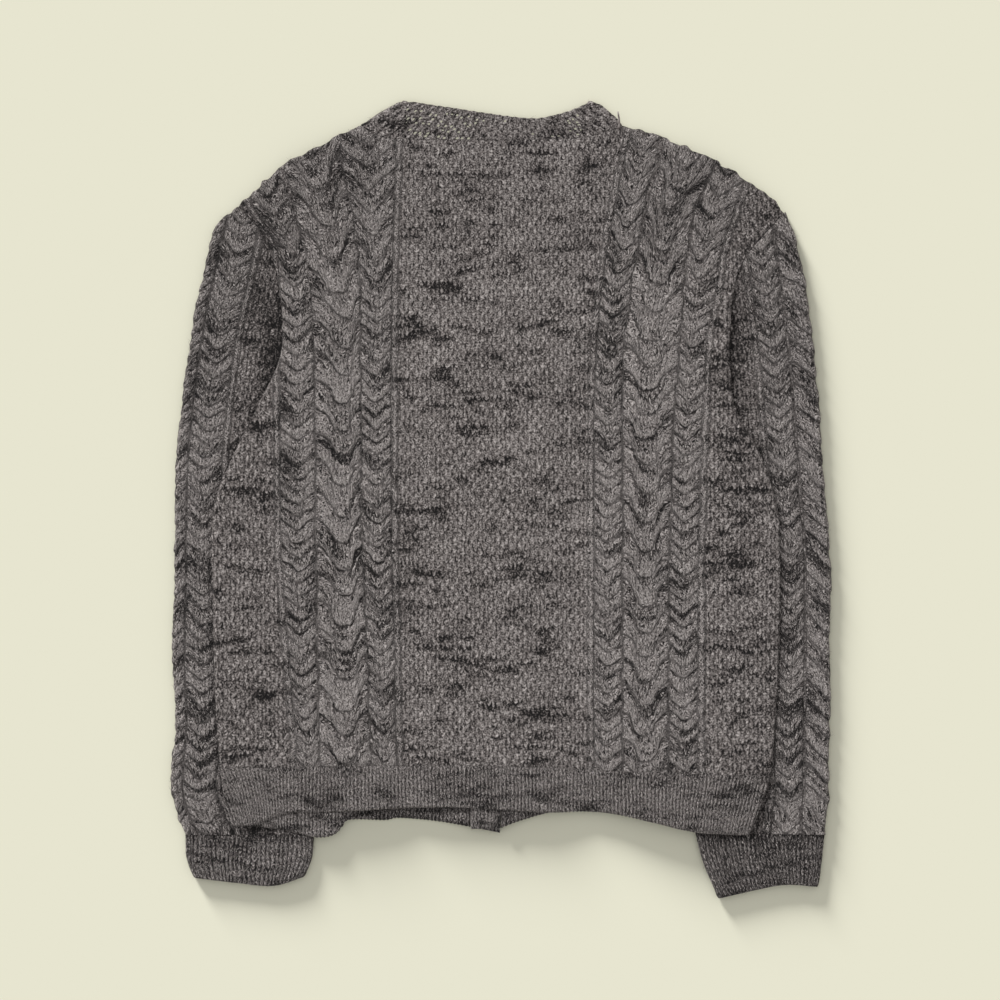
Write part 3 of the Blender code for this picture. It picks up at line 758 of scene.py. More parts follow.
def lumpy(line, reach, size, seed):
    """A line whose places are pushed to and fro sideways, as stitches push an edge."""
    way = travel(line)
    return line + sideways(line) * (reach * wander(way, way * 0, size, seed))[:, None]


def steps_for(length, step):
    """A number of steps that the coarse side divides."""
    return max(COARSE, int(round(length / step / COARSE)) * COARSE)



# %% [markdown]
# ## Marled wool
# The yarn is grey-brown, spun with darker fibres, and here and there a near-black fleck lies along
# a row. The material reads the stitch coordinates and draws what is too fine for the mesh. Such a
# material is mostly arithmetic, so `Value` wraps a socket: its sums and products make Math nodes.

# %% Node helpers
class Value:
    """A number or a vector on its way through a node tree."""

    def __init__(self, tree, socket):
        self.tree = tree
        self.socket = socket

    def step(self, operation, *others):
        return calc(self.tree, operation, self, *others)

    def __add__(self, other):
        return self.step("ADD", other)

    def __sub__(self, other):
        return self.step("SUBTRACT", other)

    def __rsub__(self, other):
        return calc(self.tree, "SUBTRACT", other, self)

    def __mul__(self, other):
        return self.step("MULTIPLY", other)

    def __truediv__(self, other):
        return self.step("DIVIDE", other)

    def __pow__(self, other):
        return self.step("POWER", other)

    def __abs__(self):
        return self.step("ABSOLUTE")


def feed(given, value):
    """Link a Value to a node's input, or set the input to a plain number."""
    if isinstance(value, Value):
        value.tree.links.new(value.socket, given)
    else:
        given.default_value = value


def add_node(tree, kind, **inputs):
    """A node with some of its inputs fed; an underscore stands for the space in an input's name."""
    node = tree.nodes.new(kind)
    for name, value in inputs.items():
        feed(node.inputs[name.replace("_", " ")], value)
    return node


def calc(tree, operation, *values):
    """One Math node."""
    node = tree.nodes.new("ShaderNodeMath")
    node.operation = operation
    for given, value in zip(node.inputs, values):
        feed(given, value)
    return Value(tree, node.outputs[0])


def step_up(value, low, high):
    """0 below low, 1 above high, eased between."""
    node = add_node(value.tree, "ShaderNodeMapRange", From_Min=low, From_Max=high, Value=value)
    node.interpolation_type = "SMOOTHSTEP"
    return Value(value.tree, node.outputs["Result"])


def noise(place, scale, detail=2.0, roughness=0.5):
    settings = {"Scale": scale, "Detail": detail, "Roughness": roughness}
    node = add_node(place.tree, "ShaderNodeTexNoise", Vector=place, **settings)
    return Value(place.tree, node.outputs["Fac"])


def stretched_noise(across, up, across_scale, up_scale, detail=2.0, roughness=0.5, layer=0.0):
    """Noise with a scale of its own each way; every layer of it is another noise."""
    stretched = {"X": across * across_scale, "Y": up * up_scale, "Z": layer}
    node = add_node(across.tree, "ShaderNodeCombineXYZ", **stretched)
    return noise(Value(across.tree, node.outputs[0]), 1.0, detail, roughness)


def shaken(value, by_noise, reach):
    """A coordinate or a tone moved to and fro by a noise."""
    return (by_noise - 0.5) * reach + value


def mixed(share, first, second):
    """first where share is 0 and second where it is 1."""
    return first + share * (second - first)


def colour_ramp(value, tones):
    """A colour for each value, from (position, colour) pairs."""
    node = value.tree.nodes.new("ShaderNodeValToRGB")
    ramp = node.color_ramp
    ramp.elements[0].position, ramp.elements[-1].position = tones[0][0], tones[-1][0]
    for position, _ in tones[1:-1]:
        ramp.elements.new(position)
    for element, (_, colour) in zip(ramp.elements, tones):
        element.color = (*colour, 1)
    feed(node.inputs["Fac"], value)
    return Value(value.tree, node.outputs["Color"])


def new_material(name, settings):
    """A material, its shader with some inputs set, and the place that its noises read."""
    made = bpy.data.materials.new(name)
    made.use_nodes = True
    tree = made.node_tree
    shader = tree.nodes["Principled BSDF"]
    for setting, value in settings.items():
        shader.inputs[setting].default_value = value
    return made, shader, Value(tree, tree.nodes.new("ShaderNodeTexCoord").outputs["Object"])


def bumped(shader, height, strength, distance):
    """Make the shader's surface stand up by a height."""
    node = add_node(height.tree, "ShaderNodeBump", Strength=strength, Distance=distance, Height=height)
    height.tree.links.new(node.outputs[0], shader.inputs["Normal"])


# %% [markdown]
# A knitted stitch is a V: two legs that meet at its foot. `loop_legs` draws the legs as slanting
# ridges, `moss_ovals` the bumps of moss stitch, and `fibres` and `grains` the strokes and hairs of
# the yarn itself, which lean as the yarn is twisted.

# %% Stitches and fibres in nodes
def loop_legs(wale, course):
    """The two legs of each loop, as a V: high along a leg, low in the gutters between the loops."""
    side = abs(wale.step("FRACT") - 0.5) * 2
    rows = course - side * 1.25
    leg = (rows.step("FRACT") * math.pi).step("SINE") * 0.5 + 0.5
    return leg * (1 - side ** 2), rows


def moss_ovals(wale, course):
    """Moss stitch: ovals of two legs with pits between them, joined by slanting links."""
    ovals = []
    for shift in (0, 1):
        across = (wale + shift).step("WRAP", 1, -1)
        up = (course + 2 * shift).step("WRAP", 2, -2)
        inside = (1 - (abs(across / 0.7) ** 2 + abs(up / 1.6) ** 2)).step("MAXIMUM", 0)
        ovals.append(inside ** 0.5 * step_up(abs(across), -0.15, 0.3))
    link = ((course * 0.25 + wale * 0.5) * math.pi).step("COSINE") ** 2
    return ovals[0].step("MAXIMUM", ovals[1]).step("MAXIMUM", link * 0.5)


def opened(wale, course, moss):
    """In moss stitch the gutters beside a stitch part and meet again, two courses up and two down."""
    zigzag = abs(course.step("WRAP", 2, -2)) - 1
    return wale + (wale * math.pi).step("COSINE") * zigzag * 0.28 * moss


def fibres(wale, rows, lean, layer):
    """Short strokes of noise, along the wales but leaning to one side."""
    return abs(stretched_noise(wale + rows * lean, rows, 2.6, 1.1, 0.0, 0.5, layer) - 0.5) * 3.2


def grains(wale, rows, lean, layer):
    """Single hairs: finer than the strokes and drawn out the same way."""
    return stretched_noise(wale + rows * lean, rows, 5.2, 2.0, 0.0, 0.5, layer)


print("the yarn's fibres are drawn", round(STITCH / 2.6 / MM, 1), "mm apart")

# %% [markdown]
# The wool adds up a tone: legs painted lighter where they stand up, strokes, painted shade under a
# crossing strand, clouds of darker yarn, flecks, and the painted shade that each mesh carries with it.
# The two slots, pattern and rib, get the same yarn.

# %% The wool
YARN_TONES = [
    (0.0, (0.010, 0.009, 0.009)), (0.25, (0.050, 0.044, 0.042)), (0.5, (0.150, 0.131, 0.124)),
    (0.75, (0.290, 0.262, 0.250)), (1.0, (0.48, 0.44, 0.42)),
]
MIDDLE_TONE = 0.48
UNDER_STRAND = 1.3 * MM  # how far the painted shade reaches under a crossing strand
STRAND_END = 0.5 * MM  # and the painted dark line at the strand's own end
FLECK_FROM, FLECK_FULL = 0.93, 1.03  # the yarn turns dark between these strengths
WOOL_SHADER = {
    "Roughness": 0.92, "Specular IOR Level": 0.15, "Sheen Weight": 0.1, "Sheen Roughness": 0.5,
    "Sheen Tint": (0.75, 0.7, 0.67, 1),
}


def stitch_coordinates(tree):
    """The nine numbers that each place of a shell carries."""
    coordinates = []
    for attribute in ("stitch", "yarn_row", "strand"):
        read = tree.nodes.new("ShaderNodeAttribute")
        read.attribute_name = attribute
        parts = tree.nodes.new("ShaderNodeSeparateXYZ")
        tree.links.new(read.outputs["Vector"], parts.inputs[0])
        coordinates += [Value(tree, part) for part in parts.outputs]
    return coordinates


def marled_wool(name):
    made, shader, place = new_material(name, WOOL_SHADER)
    tree = made.node_tree
    wale, course, moss, row_across, row_up, cavity, strand, crease, span = stitch_coordinates(tree)

    # no two stitches alike: the coordinates are shaken a little before anything is drawn
    wale = shaken(wale, noise(place, 200.0, 1.0), 0.6)
    course = shaken(course, noise(place, 160.0, 1.0), 1.0)
    mossy = moss_ovals(wale, course)
    wale = opened(wale, course, moss)
    legs, rows = loop_legs(wale, course)
    part_moss = moss * 0.35
    height = legs * (1 - part_moss) + mossy * part_moss

    # the yarn's fibres show as short strokes, in tufts that lean to the left or to the right
    tuft = step_up(noise(place, 210.0, 1.0), 0.44, 0.56)
    lean = moss * 0.1 + 0.4
    back = lean * -1
    strokes = mixed(tuft, fibres(wale, rows, lean, 5.0), fibres(wale, rows, back, 9.0))
    hairs = mixed(tuft, grains(wale, rows, lean, 2.0), grains(wale, rows, back, 6.0))
    curls = shaken(0.5, noise(place, 600.0, 0.0), 0.42)
    grain = mixed(moss, hairs, curls)

    # a cable's strands overlap: each ends in a thin crease, painted as a dark line, and the next comes out
    # of the shade painted under it
    ragged = shaken(shaken(strand, noise(place, 330.0, 1.0), 0.1), strokes, 0.04)
    part = ragged.step("FRACT")
    from_end = part * span
    # painted shade: a dark line at each strand's end and shade under the strand that crosses it; the line is
    # also cut into the bump below
    under = ((span - from_end) * (-1 / UNDER_STRAND)).step("EXPONENT")
    edge = (from_end * (-1 / STRAND_END)).step("EXPONENT")
    line = under.step("MAXIMUM", edge) * crease
    on_cable = (crease * 5).step("MINIMUM", 1)

    # near-black flecks lie along the knitted rows, in ragged clusters with teeth along the wales
    teeth = stretched_noise(wale, rows, 1.4, 0.3, 1.0, 0.5, 12.0)
    toothed = shaken(row_up + (rows - course) * COURSE, teeth, 9 * MM)
    streak = stretched_noise(row_across, toothed, 40.0, 190.0, 2.0, 0.55)
    region = stretched_noise(row_across, row_up, 15.0, 45.0, 2.0, 0.6, 3.0)
    strength = streak + region * 0.8 + (1 - moss) * 0.028
    fleck = step_up(shaken(strength, strokes, 0.25), FLECK_FROM, FLECK_FULL)
    darker = 0.6 - (grain - 0.5) * 1.3 + on_cable * 0.2

    # painted light: the higher parts of the legs and ovals are painted lighter, as if lit
    painted_leg_light = 0.4 - on_cable * 0.15 + moss * 0.1
    tone = shaken(height * painted_leg_light, strokes, 0.7)
    tone = shaken(tone, grain, 2.6)
    tone = shaken(tone, noise(place, 16.0, 3.0), 0.18)
    # painted shade from the mesh and the crease lines darkens the tone; the flecks are the yarn's own colour
    tone = tone - fleck * darker - cavity * 0.4 - line * 0.85
    # painted light and shade: each strand is lighter at its raised lower end and darker where it comes out
    # from under the next
    tone = tone + (0.5 - part) * (crease * 0.35)
    tone = tone + (on_cable * 0.21 - moss * 0.04 + MIDDLE_TONE)
    feed(shader.inputs["Base Color"], colour_ramp(tone, YARN_TONES))
    relief = shaken(shaken(height * 0.6, strokes, 0.9), grain, 1.0) - line * 1.5
    bumped(shader, relief, 0.9, 0.9 * MM)
    made.diffuse_color = (*YARN_TONES[2][1], 1)
    return made


PATTERN_WOOL = marled_wool("marled_wool_pattern")
RIB_WOOL = marled_wool("marled_wool_rib")
print("nodes in the wool:", len(RIB_WOOL.node_tree.nodes))

# %% [markdown]
# ## Folds
# Thick knitting lies flat, but it creases a little near the armholes and sinks beside them. Each
# fold is a line with its own depth and width. A depth below zero makes a ridge.

# %% Folds
Fold = namedtuple("Fold", "depth width places")

BACK_FOLDS = [
    Fold(2.2, 2.4, [At(-162, 336), At(-165, 322), At(-172, 310), At(-178, 300)]),
    Fold(1.6, 2.2, [At(-205, 339), At(-192, 332), At(-181, 319)]),
    Fold(1.3, 2.0, [At(-204, 316), At(-193, 313), At(-184, 305)]),
    Fold(-0.8, 5.0, [At(-176, 336), At(-183, 322), At(-190, 306)]),
    Fold(1.9, 2.3, [At(209, 321), At(198, 312), At(187, 307), At(177, 296)]),
    Fold(1.7, 2.2, [At(155, 212), At(164, 224), At(171, 229), At(182, 238)]),
    Fold(1.2, 2.0, [At(186, 273), At(198, 266), At(208, 252)]),
    Fold(0.7, 9.0, [At(-256, 236), At(-236, 190), At(-231, 150), At(-238, 112)]),
    Fold(0.6, 10.0, [At(262, 226), At(246, 180), At(243, 140), At(250, 100)]),
    Fold(0.9, 3.5, [At(-274, -40), At(-252, -47), At(-226, -42)]),
    Fold(0.8, 3.0, [At(266, -58), At(244, -70), At(215, -69)]),
]
SLEEVE_FOLDS = [
    Fold(2.4, 11.0, [At(-268, 235), At(-243, 206), At(-228, 172), At(-227, 138), At(-243, 96)]),
    Fold(1.5, 9.0, [At(268, 225), At(246, 205), At(238, 165), At(241, 125), At(252, 92)]),
    Fold(1.3, 2.6, [At(-292, 236), At(-276, 243), At(-262, 240)]),
    Fold(1.1, 2.4, [At(300, 232), At(286, 243), At(270, 245)]),
    Fold(0.9, 3.2, [At(-318, 22), At(-304, 14), At(-293, 17)]),
    Fold(1.0, 2.8, [At(322, -30), At(309, -41), At(296, -39)]),
    Fold(1.2, 3.0, [At(-321, -312), At(-300, -318), At(-262, -315)]),
    Fold(1.1, 3.0, [At(318, -316), At(296, -322), At(276, -318)]),
]
FRONT_FOLDS = [
    Fold(0.9, 5.0, [At(-262, 150), At(-235, 118), At(-214, 104)]),
    Fold(0.7, 7.0, [At(-250, -60), At(-205, -48), At(-160, -66)]),
    Fold(0.8, 5.0, [At(-180, 290), At(-160, 262), At(-150, 224)]),
    Fold(0.9, 5.0, [At(256, 140), At(232, 112), At(205, 103)]),
    Fold(0.7, 6.0, [At(250, -90), At(196, -76), At(150, -95)]),
    Fold(0.8, 5.5, [At(172, 286), At(154, 250), At(149, 215)]),
]
FOLD_SHADE = 0.22  # painted shade: the wool in a trough is painted this much darker for each mm of depth


def folded(x, y, folds):
    """How far the folds sink the cloth at each place, in mm; each fades out at its two ends."""
    sunk = np.zeros_like(x)
    for fold in folds:
        line = drawn(fold.places)
        reach = 2.6 * fold.width * MM
        low, high = line.min(axis=0) - reach, line.max(axis=0) + reach
        near = (x > low[0]) & (x < high[0]) & (y > low[1]) & (y < high[1])
        if not near.any():
            continue
        gaps = np.hypot(x[near][:, None] - line[None, :, 0], y[near][:, None] - line[None, :, 1])
        share = gaps.argmin(axis=1) / (len(line) - 1)
        fading = ease(4 * share) * ease(4 * (1 - share))
        sunk[near] += fold.depth * fading * np.exp(-(gaps.min(axis=1) / (fold.width * MM)) ** 2)
    return sunk


print("folds on back, sleeves and fronts:", len(BACK_FOLDS), len(SLEEVE_FOLDS), len(FRONT_FOLDS))


# %% [markdown]
# ## The back
# The back is knitted in one piece. Its mesh is made in three, which meet in the gutters beside the
# inner cables, so that each can be fine enough to hold the relief of its stitches.

# %% Back panels
FINE_ACROSS = 1.15 * MM
FINE_ALONG = 1.7 * MM
SIDE_RADIUS = 7 * MM
SIDE_DEPTH = 3.4 * MM
TOP_RADIUS = 4 * MM
TOP_DEPTH = 2.2 * MM
RELIEF_SUNK = 0.9 * MM  # the gutters lie this far under the plain wall's surface
SEAM_TOP = 2.9 * MM  # panels and welt are this thick where the one turns into the other
SEAM_BLEND = 7 * MM
LEAST_EDGE = 0.4 * MM  # the wall is never thinner than this at its rounded edges
SHOULDER_SHADE = 0.24
PANEL_LENGTH = 640 * MM
SHOULDER_LUMP = 1.9 * MM  # how far the stitches push the shoulders' edge, and the sides'
SIDE_LUMP = 1.0 * MM
CABLE_END_UP = 2.2 * MM
CABLE_END_AT = -149 * MM
BACK_TOP = np.vstack([drawn(LEFT_SHOULDER), drawn(BACK_NECK)[1:], drawn(RIGHT_SHOULDER)[::-1][1:]])
WELT_LINE = drawn(BACK_WELT_TOP)
LUMPY_TOP = np.vstack([
    lumpy(even_curve(LEFT_SHOULDER, 120), SHOULDER_LUMP, 7 * MM, 61), even_curve(BACK_NECK, 200)[1:],
    lumpy(even_curve(RIGHT_SHOULDER, 120), SHOULDER_LUMP, 7 * MM, 62)[::-1][1:],
])
# a cable's end stands up a little beside the left end of the neck
LUMPY_TOP[:, 1] += CABLE_END_UP * np.exp(-((LUMPY_TOP[:, 0] - CABLE_END_AT) / (6 * MM)) ** 2)


def gutter_line(cable, side, steps):
    """A gutter beside a cable, from the welt up to the shoulder or the neck."""
    up = np.linspace(-290 * MM, 390 * MM, 400)
    line = np.column_stack([span_at(cable, up)[side], up])
    above_welt = line[:, 1] > np.interp(line[:, 0], WELT_LINE[:, 0], WELT_LINE[:, 1])
    below_top = line[:, 1] < np.interp(line[:, 0], BACK_TOP[:, 0], BACK_TOP[:, 1])
    line = line[above_welt & below_top]
    foot = (line[0, 0], np.interp(line[0, 0], WELT_LINE[:, 0], WELT_LINE[:, 1]))
    head = (line[-1, 0], np.interp(line[-1, 0], LUMPY_TOP[:, 0], LUMPY_TOP[:, 1]))
    return paced(np.vstack([foot, line, head]), steps)


def shoulder_part(x, y):
    """1 at the shoulders, where the cloth slopes away from the light, 0 over most of the body."""
    across = ease((np.abs(x) - 90 * MM) / (70 * MM))
    return across * ease((y - 190 * MM) / (80 * MM)) + 0.35 * ease((np.abs(x) - 195 * MM) / (40 * MM))


def back_panel(name, left, right, rounded):
    """A part of the back between two upright edges; rounded says which columns are its outer edges."""
    rows = len(left) - 1
    width = right[rows // 2, 0] - left[rows // 2, 0]
    columns = steps_for(width, FINE_ACROSS)
    bottom = between(WELT_LINE, left[0, 0], right[0, 0], columns)
    top = between(LUMPY_TOP, left[-1, 0], right[-1, 0], columns)
    places = patch(bottom, top, left, right)
    x, y = places[..., 0], places[..., 1]
    knit = body_stitch(x, y)
    on_neck = (x > BACK_NECK[0].across * MM) & (x < BACK_NECK[-1].across * MM)
    drop = np.where(on_neck, 0, edge_drop(from_edge(places, row=-1), TOP_RADIUS, TOP_DEPTH))
    radius = SIDE_RADIUS * (1 - 0.6 * at_seam(y))
    depth = SIDE_DEPTH * (1 - 0.75 * at_seam(y))
    for column in rounded:
        drop = np.maximum(drop, edge_drop(from_edge(places, column=column), radius, depth))
    level = back_level(x, y)
    own = ease(from_edge(places, row=0) / SEAM_BLEND)
    sunk = folded(x, y, BACK_FOLDS)
    thick = (WALL - RELIEF_SUNK + knit.height - sunk * MM) * own + SEAM_TOP * (1 - own)
    outer = np.dstack([places, level + np.maximum(thick - drop, LEAST_EDGE)])
    inner = np.dstack([places, level])[::COARSE, ::COARSE]
    # painted shade in the folds' troughs and on the shoulders, which slope away from the light
    shade = FOLD_SHADE * sunk + SHOULDER_SHADE * shoulder_part(x, y)
    return shell(name, outer, inner, knit._replace(cavity=knit.cavity + shade), PATTERN_WOOL)


def side_and_armhole(side, armhole, rows):
    return paced(np.vstack([drawn(side), drawn(armhole)[1:]]), rows)


def back_edge(side, armhole, seed):
    """A side and its armhole, lumpy but for the two ends."""
    line = side_and_armhole(side, armhole, BACK_ROWS)
    line[5:-5] = lumpy(line, SIDE_LUMP, 8 * MM, seed)[5:-5]
    return line


BACK_ROWS = steps_for(PANEL_LENGTH, FINE_ALONG)
back_left_edge = back_edge(LEFT_SIDE, LEFT_ARMHOLE, 63)
back_right_edge = back_edge(RIGHT_SIDE, RIGHT_ARMHOLE, 64)
left_gutter = gutter_line(LEFT_INNER, 2, BACK_ROWS)
right_gutter = gutter_line(RIGHT_INNER, 0, BACK_ROWS)
back_left = back_panel("back_left", back_left_edge, left_gutter, [0])
back_middle = back_panel("back_middle", left_gutter, right_gutter, [])
back_right = back_panel("back_right", right_gutter, back_right_edge, [-1])
print("rows of cells up the back:", BACK_ROWS)

# %% [markdown]
# The welt is knitted on fewer stitches in rib, so it grips a little: its ribs fan out at the corners.

# %% Back welt
RIB_PITCH = 3.72 * MM
RIB_FINE = 0.93 * MM
WELT_RADIUS = 2.6 * MM
WELT_DEPTH = 2.4 * MM
WELT_SHADE = 0.1
UNDER_HEM_SHADE = 0.3  # painted shade: the fronts' edges lie in the shade of the back's
ROLLED_EDGE_HIGHLIGHT = 0.3  # painted highlight: the back's cast-off edge is painted paler than the rib above
RIB_HEIGHT = 1.6 * MM
RIB_SUNK = 0.7 * MM  # the gutters lie this far under the wall's surface


def rib_lean(x):
    """How far the ribs slant at a place across, for each step down."""
    at_left = 0.42 * ease(1 - (x + 275 * MM) / (70 * MM))
    at_right = -0.3 * ease(1 - (262 * MM - x) / (120 * MM))
    return at_left + at_right


def welt(name, top, bottom, left, right, level, both_sides):
    """A strip of rib; the fronts' ones are knitted on both sides and coarser."""
    top, bottom, left, right = [drawn(table) for table in (top, bottom, left, right)]
    columns = steps_for(length_of(top), RIB_FINE * (4 / 3 if both_sides else 1))
    rows = steps_for(length_of(left), 2.4 * MM if both_sides else 2 * MM)
    top, bottom = paced(top, columns), paced(bottom, columns)
    left, right = paced(left, rows), paced(right, rows)
    left[-1], right[-1] = top[0], top[-1]
    places = patch(bottom, top, left, right)
    x, y = places[..., 0], places[..., 1]
    depth = y[-1:] - y
    rib = (x - rib_lean(x) * depth + 0.7 * MM * wander(x, y, 16 * MM, 9)) / RIB_PITCH
    share_down = (1 - np.linspace(0, 1, rows + 1)[:, None]) ** 4
    places[..., 1] += 0.45 * MM * np.cos(rib * 2 * math.pi) * share_down
    knit = rib_stitch(rib, y, RIB_HEIGHT, x)
    drop = edge_drop(from_edge(places, row=0), WELT_RADIUS, WELT_DEPTH)
    for column in (0, -1):
        drop = np.maximum(drop, edge_drop(from_edge(places, column=column), WELT_RADIUS, WELT_DEPTH))
    base = level(x, y)
    own = ease(from_edge(places, row=-1) / SEAM_BLEND)
    thick = (BAND_WALL - RIB_SUNK + knit.height) * own + SEAM_TOP * (1 - own)
    upper = np.dstack([places, base + np.maximum(thick - drop, 1.6 * MM)])
    # painted shade on the fronts' edges under the back's hem, and a painted highlight along the back's
    # cast-off edge
    under_hem = UNDER_HEM_SHADE * ease((x + 158 * MM) / (14 * MM)) if both_sides else 0
    rolled_highlight = 0 if both_sides else ROLLED_EDGE_HIGHLIGHT * np.exp(-(from_edge(places, row=0) / (1.3 * MM)) ** 2)
    knit = knit._replace(cavity=knit.cavity * own + WELT_SHADE + under_hem - rolled_highlight)
    if not both_sides:
        return shell(name, upper, np.dstack([places, base])[::COARSE, ::COARSE], knit, RIB_WOOL)
    hollow = np.clip(RIB_SUNK - knit.height / 2 + drop / 2, 0, 1.3 * MM)
    lower = np.dstack([places, base + hollow])
    return shell(name, upper, lower, knit, RIB_WOOL)


back_welt = welt(
    "back_welt_rib", BACK_WELT_TOP, BACK_WELT_BOTTOM, BACK_WELT_LEFT, BACK_WELT_RIGHT, back_level, False,
)

# %% [markdown]
# ## The fronts
# The cardigan is buttoned up under the back, so the fronts show only from below. They carry the
# same pattern. Their knitted side faces the floor, so its relief is cut upward into the wall.

# %% Fronts
FRONT_ACROSS = 2.6 * MM
FRONT_ALONG = 3.4 * MM


def mirrored(knit, flip):
    return Knit(*[flip(values) for values in knit])


def front_panel(name, side, armhole, edge, shoulder, level, on_left):
    rows = steps_for(PANEL_LENGTH, FRONT_ALONG)
    outer_edge = side_and_armhole(side, armhole, rows)
    inner_edge = even_curve(edge, rows)
    columns = steps_for(abs(inner_edge[0, 0] - outer_edge[0, 0]), FRONT_ACROSS)
    top = even_curve(shoulder, columns)
    bottom = np.linspace(outer_edge[0], inner_edge[0], columns + 1)
    places = patch(bottom, top, outer_edge, inner_edge)
    if not on_left:
        places = places[:, ::-1]
    x, y = places[..., 0], places[..., 1]
    knit = body_stitch(x, y)
    base = level(x, y)
    sunk = folded(x, y, FRONT_FOLDS) * MM
    cut = np.clip(RELIEF_SUNK + 1.2 * MM - knit.height + sunk, 0, WALL - 0.8 * MM)
    outer = np.dstack([places, base + cut])
    inner = np.dstack([places, base + WALL])[::COARSE, ::COARSE]
    flipped = mirrored(knit, np.fliplr)
    return shell(name, outer[:, ::-1], inner[:, ::-1], flipped, PATTERN_WOOL)


front_left = front_panel(
    "left_front", LEFT_SIDE, LEFT_ARMHOLE, LEFT_FRONT_EDGE, LEFT_SHOULDER, front_left_level, True,
)
front_right = front_panel(
    "right_front", RIGHT_SIDE, RIGHT_ARMHOLE, RIGHT_FRONT_EDGE, RIGHT_SHOULDER, front_right_level, False,
)
front_left_welt = welt(
    "left_front_welt_rib", LEFT_WELT_TOP, LEFT_WELT_BOTTOM, LEFT_WELT_SIDE, LEFT_WELT_EDGE,
    front_left_level, True,
)
front_right_welt = welt(
    "right_front_welt_rib", RIGHT_WELT_TOP, RIGHT_WELT_BOTTOM, RIGHT_WELT_EDGE, RIGHT_WELT_SIDE,
    front_right_level, True,
)

# %% [markdown]
# ## The sleeves
# A sleeve is a tube pressed flat. Each of its rings is a line across the sleeve, taken along the
# top, round a fold, back along the floor and round the other fold. The pattern is laid out from
# the outer fold: a braid on the fold itself, a cable beside it, and moss stitch further in.

# %% Flattened tubes
SEAM_PART = 1 / 3  # of the armhole, where the sleeve shows beside the body
SEAM_FADES = 5  # rungs over which the curve of the shoulder seam fades out
SEAM_GAP = 0.1 * MM
FOLD_STEPS = 8
LAID_IN = {1: 0.9 * MM, -1: -2.2 * MM}  # left and right: the cables stand out past the sleeves' folds
EDGE_WAVE = 0.9 * MM
Tube = namedtuple("Tube", "places normals from_fold along inset")


def rungs_curve(first, rungs, side):
    knots = [first / MM] + [(getattr(r, side + "_across"), getattr(r, side + "_up")) for r in rungs]
    return drawn([At(*knot) for knot in knots])


def sleeve_lines(armhole, under, rungs, outward, shares, rows):
    """Lines across a sleeve: one row of places, at the given shares of its width, for each step along."""
    seam = even_curve(armhole, 360)[::-1]
    seam = shifted(seam[:int(360 * SEAM_PART) + 1], SEAM_GAP * outward)
    inner_end = np.array(under[2]) * MM
    reached = np.linspace(0, 0.5, len(seam))
    beyond = seam[-1] + (inner_end - seam[-1]) * (shares[:, None] - 0.5) * 2
    first = np.where(shares[:, None] < 0.5, sampled(seam, shares, reached), beyond)
    bulge = first - (seam[0] * (1 - shares[:, None]) + inner_end * shares[:, None])
    outer = rungs_curve(seam[0], rungs, "outer")
    inner = rungs_curve(inner_end, rungs, "inner")
    way = travel((outer + inner) / 2)
    whole = np.arange(len(way))
    at = np.interp(np.linspace(0, way[-1], rows + 1), way, whole)
    outer, inner = sampled(outer, at, whole), sampled(inner, at, whole)
    wave = EDGE_WAVE * wander(0 * at, outer[:, 1], 17 * MM, 65)
    outer[:, 0] += ease(at / (2 * SAMPLES)) * (LAID_IN[outward] + wave)
    fading = np.clip(1 - at / SAMPLES / SEAM_FADES, 0, 1) ** 2
    lines = outer[:, None] * (1 - shares[:, None]) + inner[:, None] * shares[:, None]
    lines = lines + bulge[None] * fading[:, None, None]
    return lines, way[-1] * np.linspace(0, 1, rows + 1)


print("the shoulder seam shows on", round(100 * SEAM_PART), "% of each armhole")

# %% [markdown]
# A ring runs along the top, round the inner fold, back along the floor and round the outer fold.
# Besides its places it needs the way out of the cloth and the distance from the outer fold, which
# the pattern is laid out from.

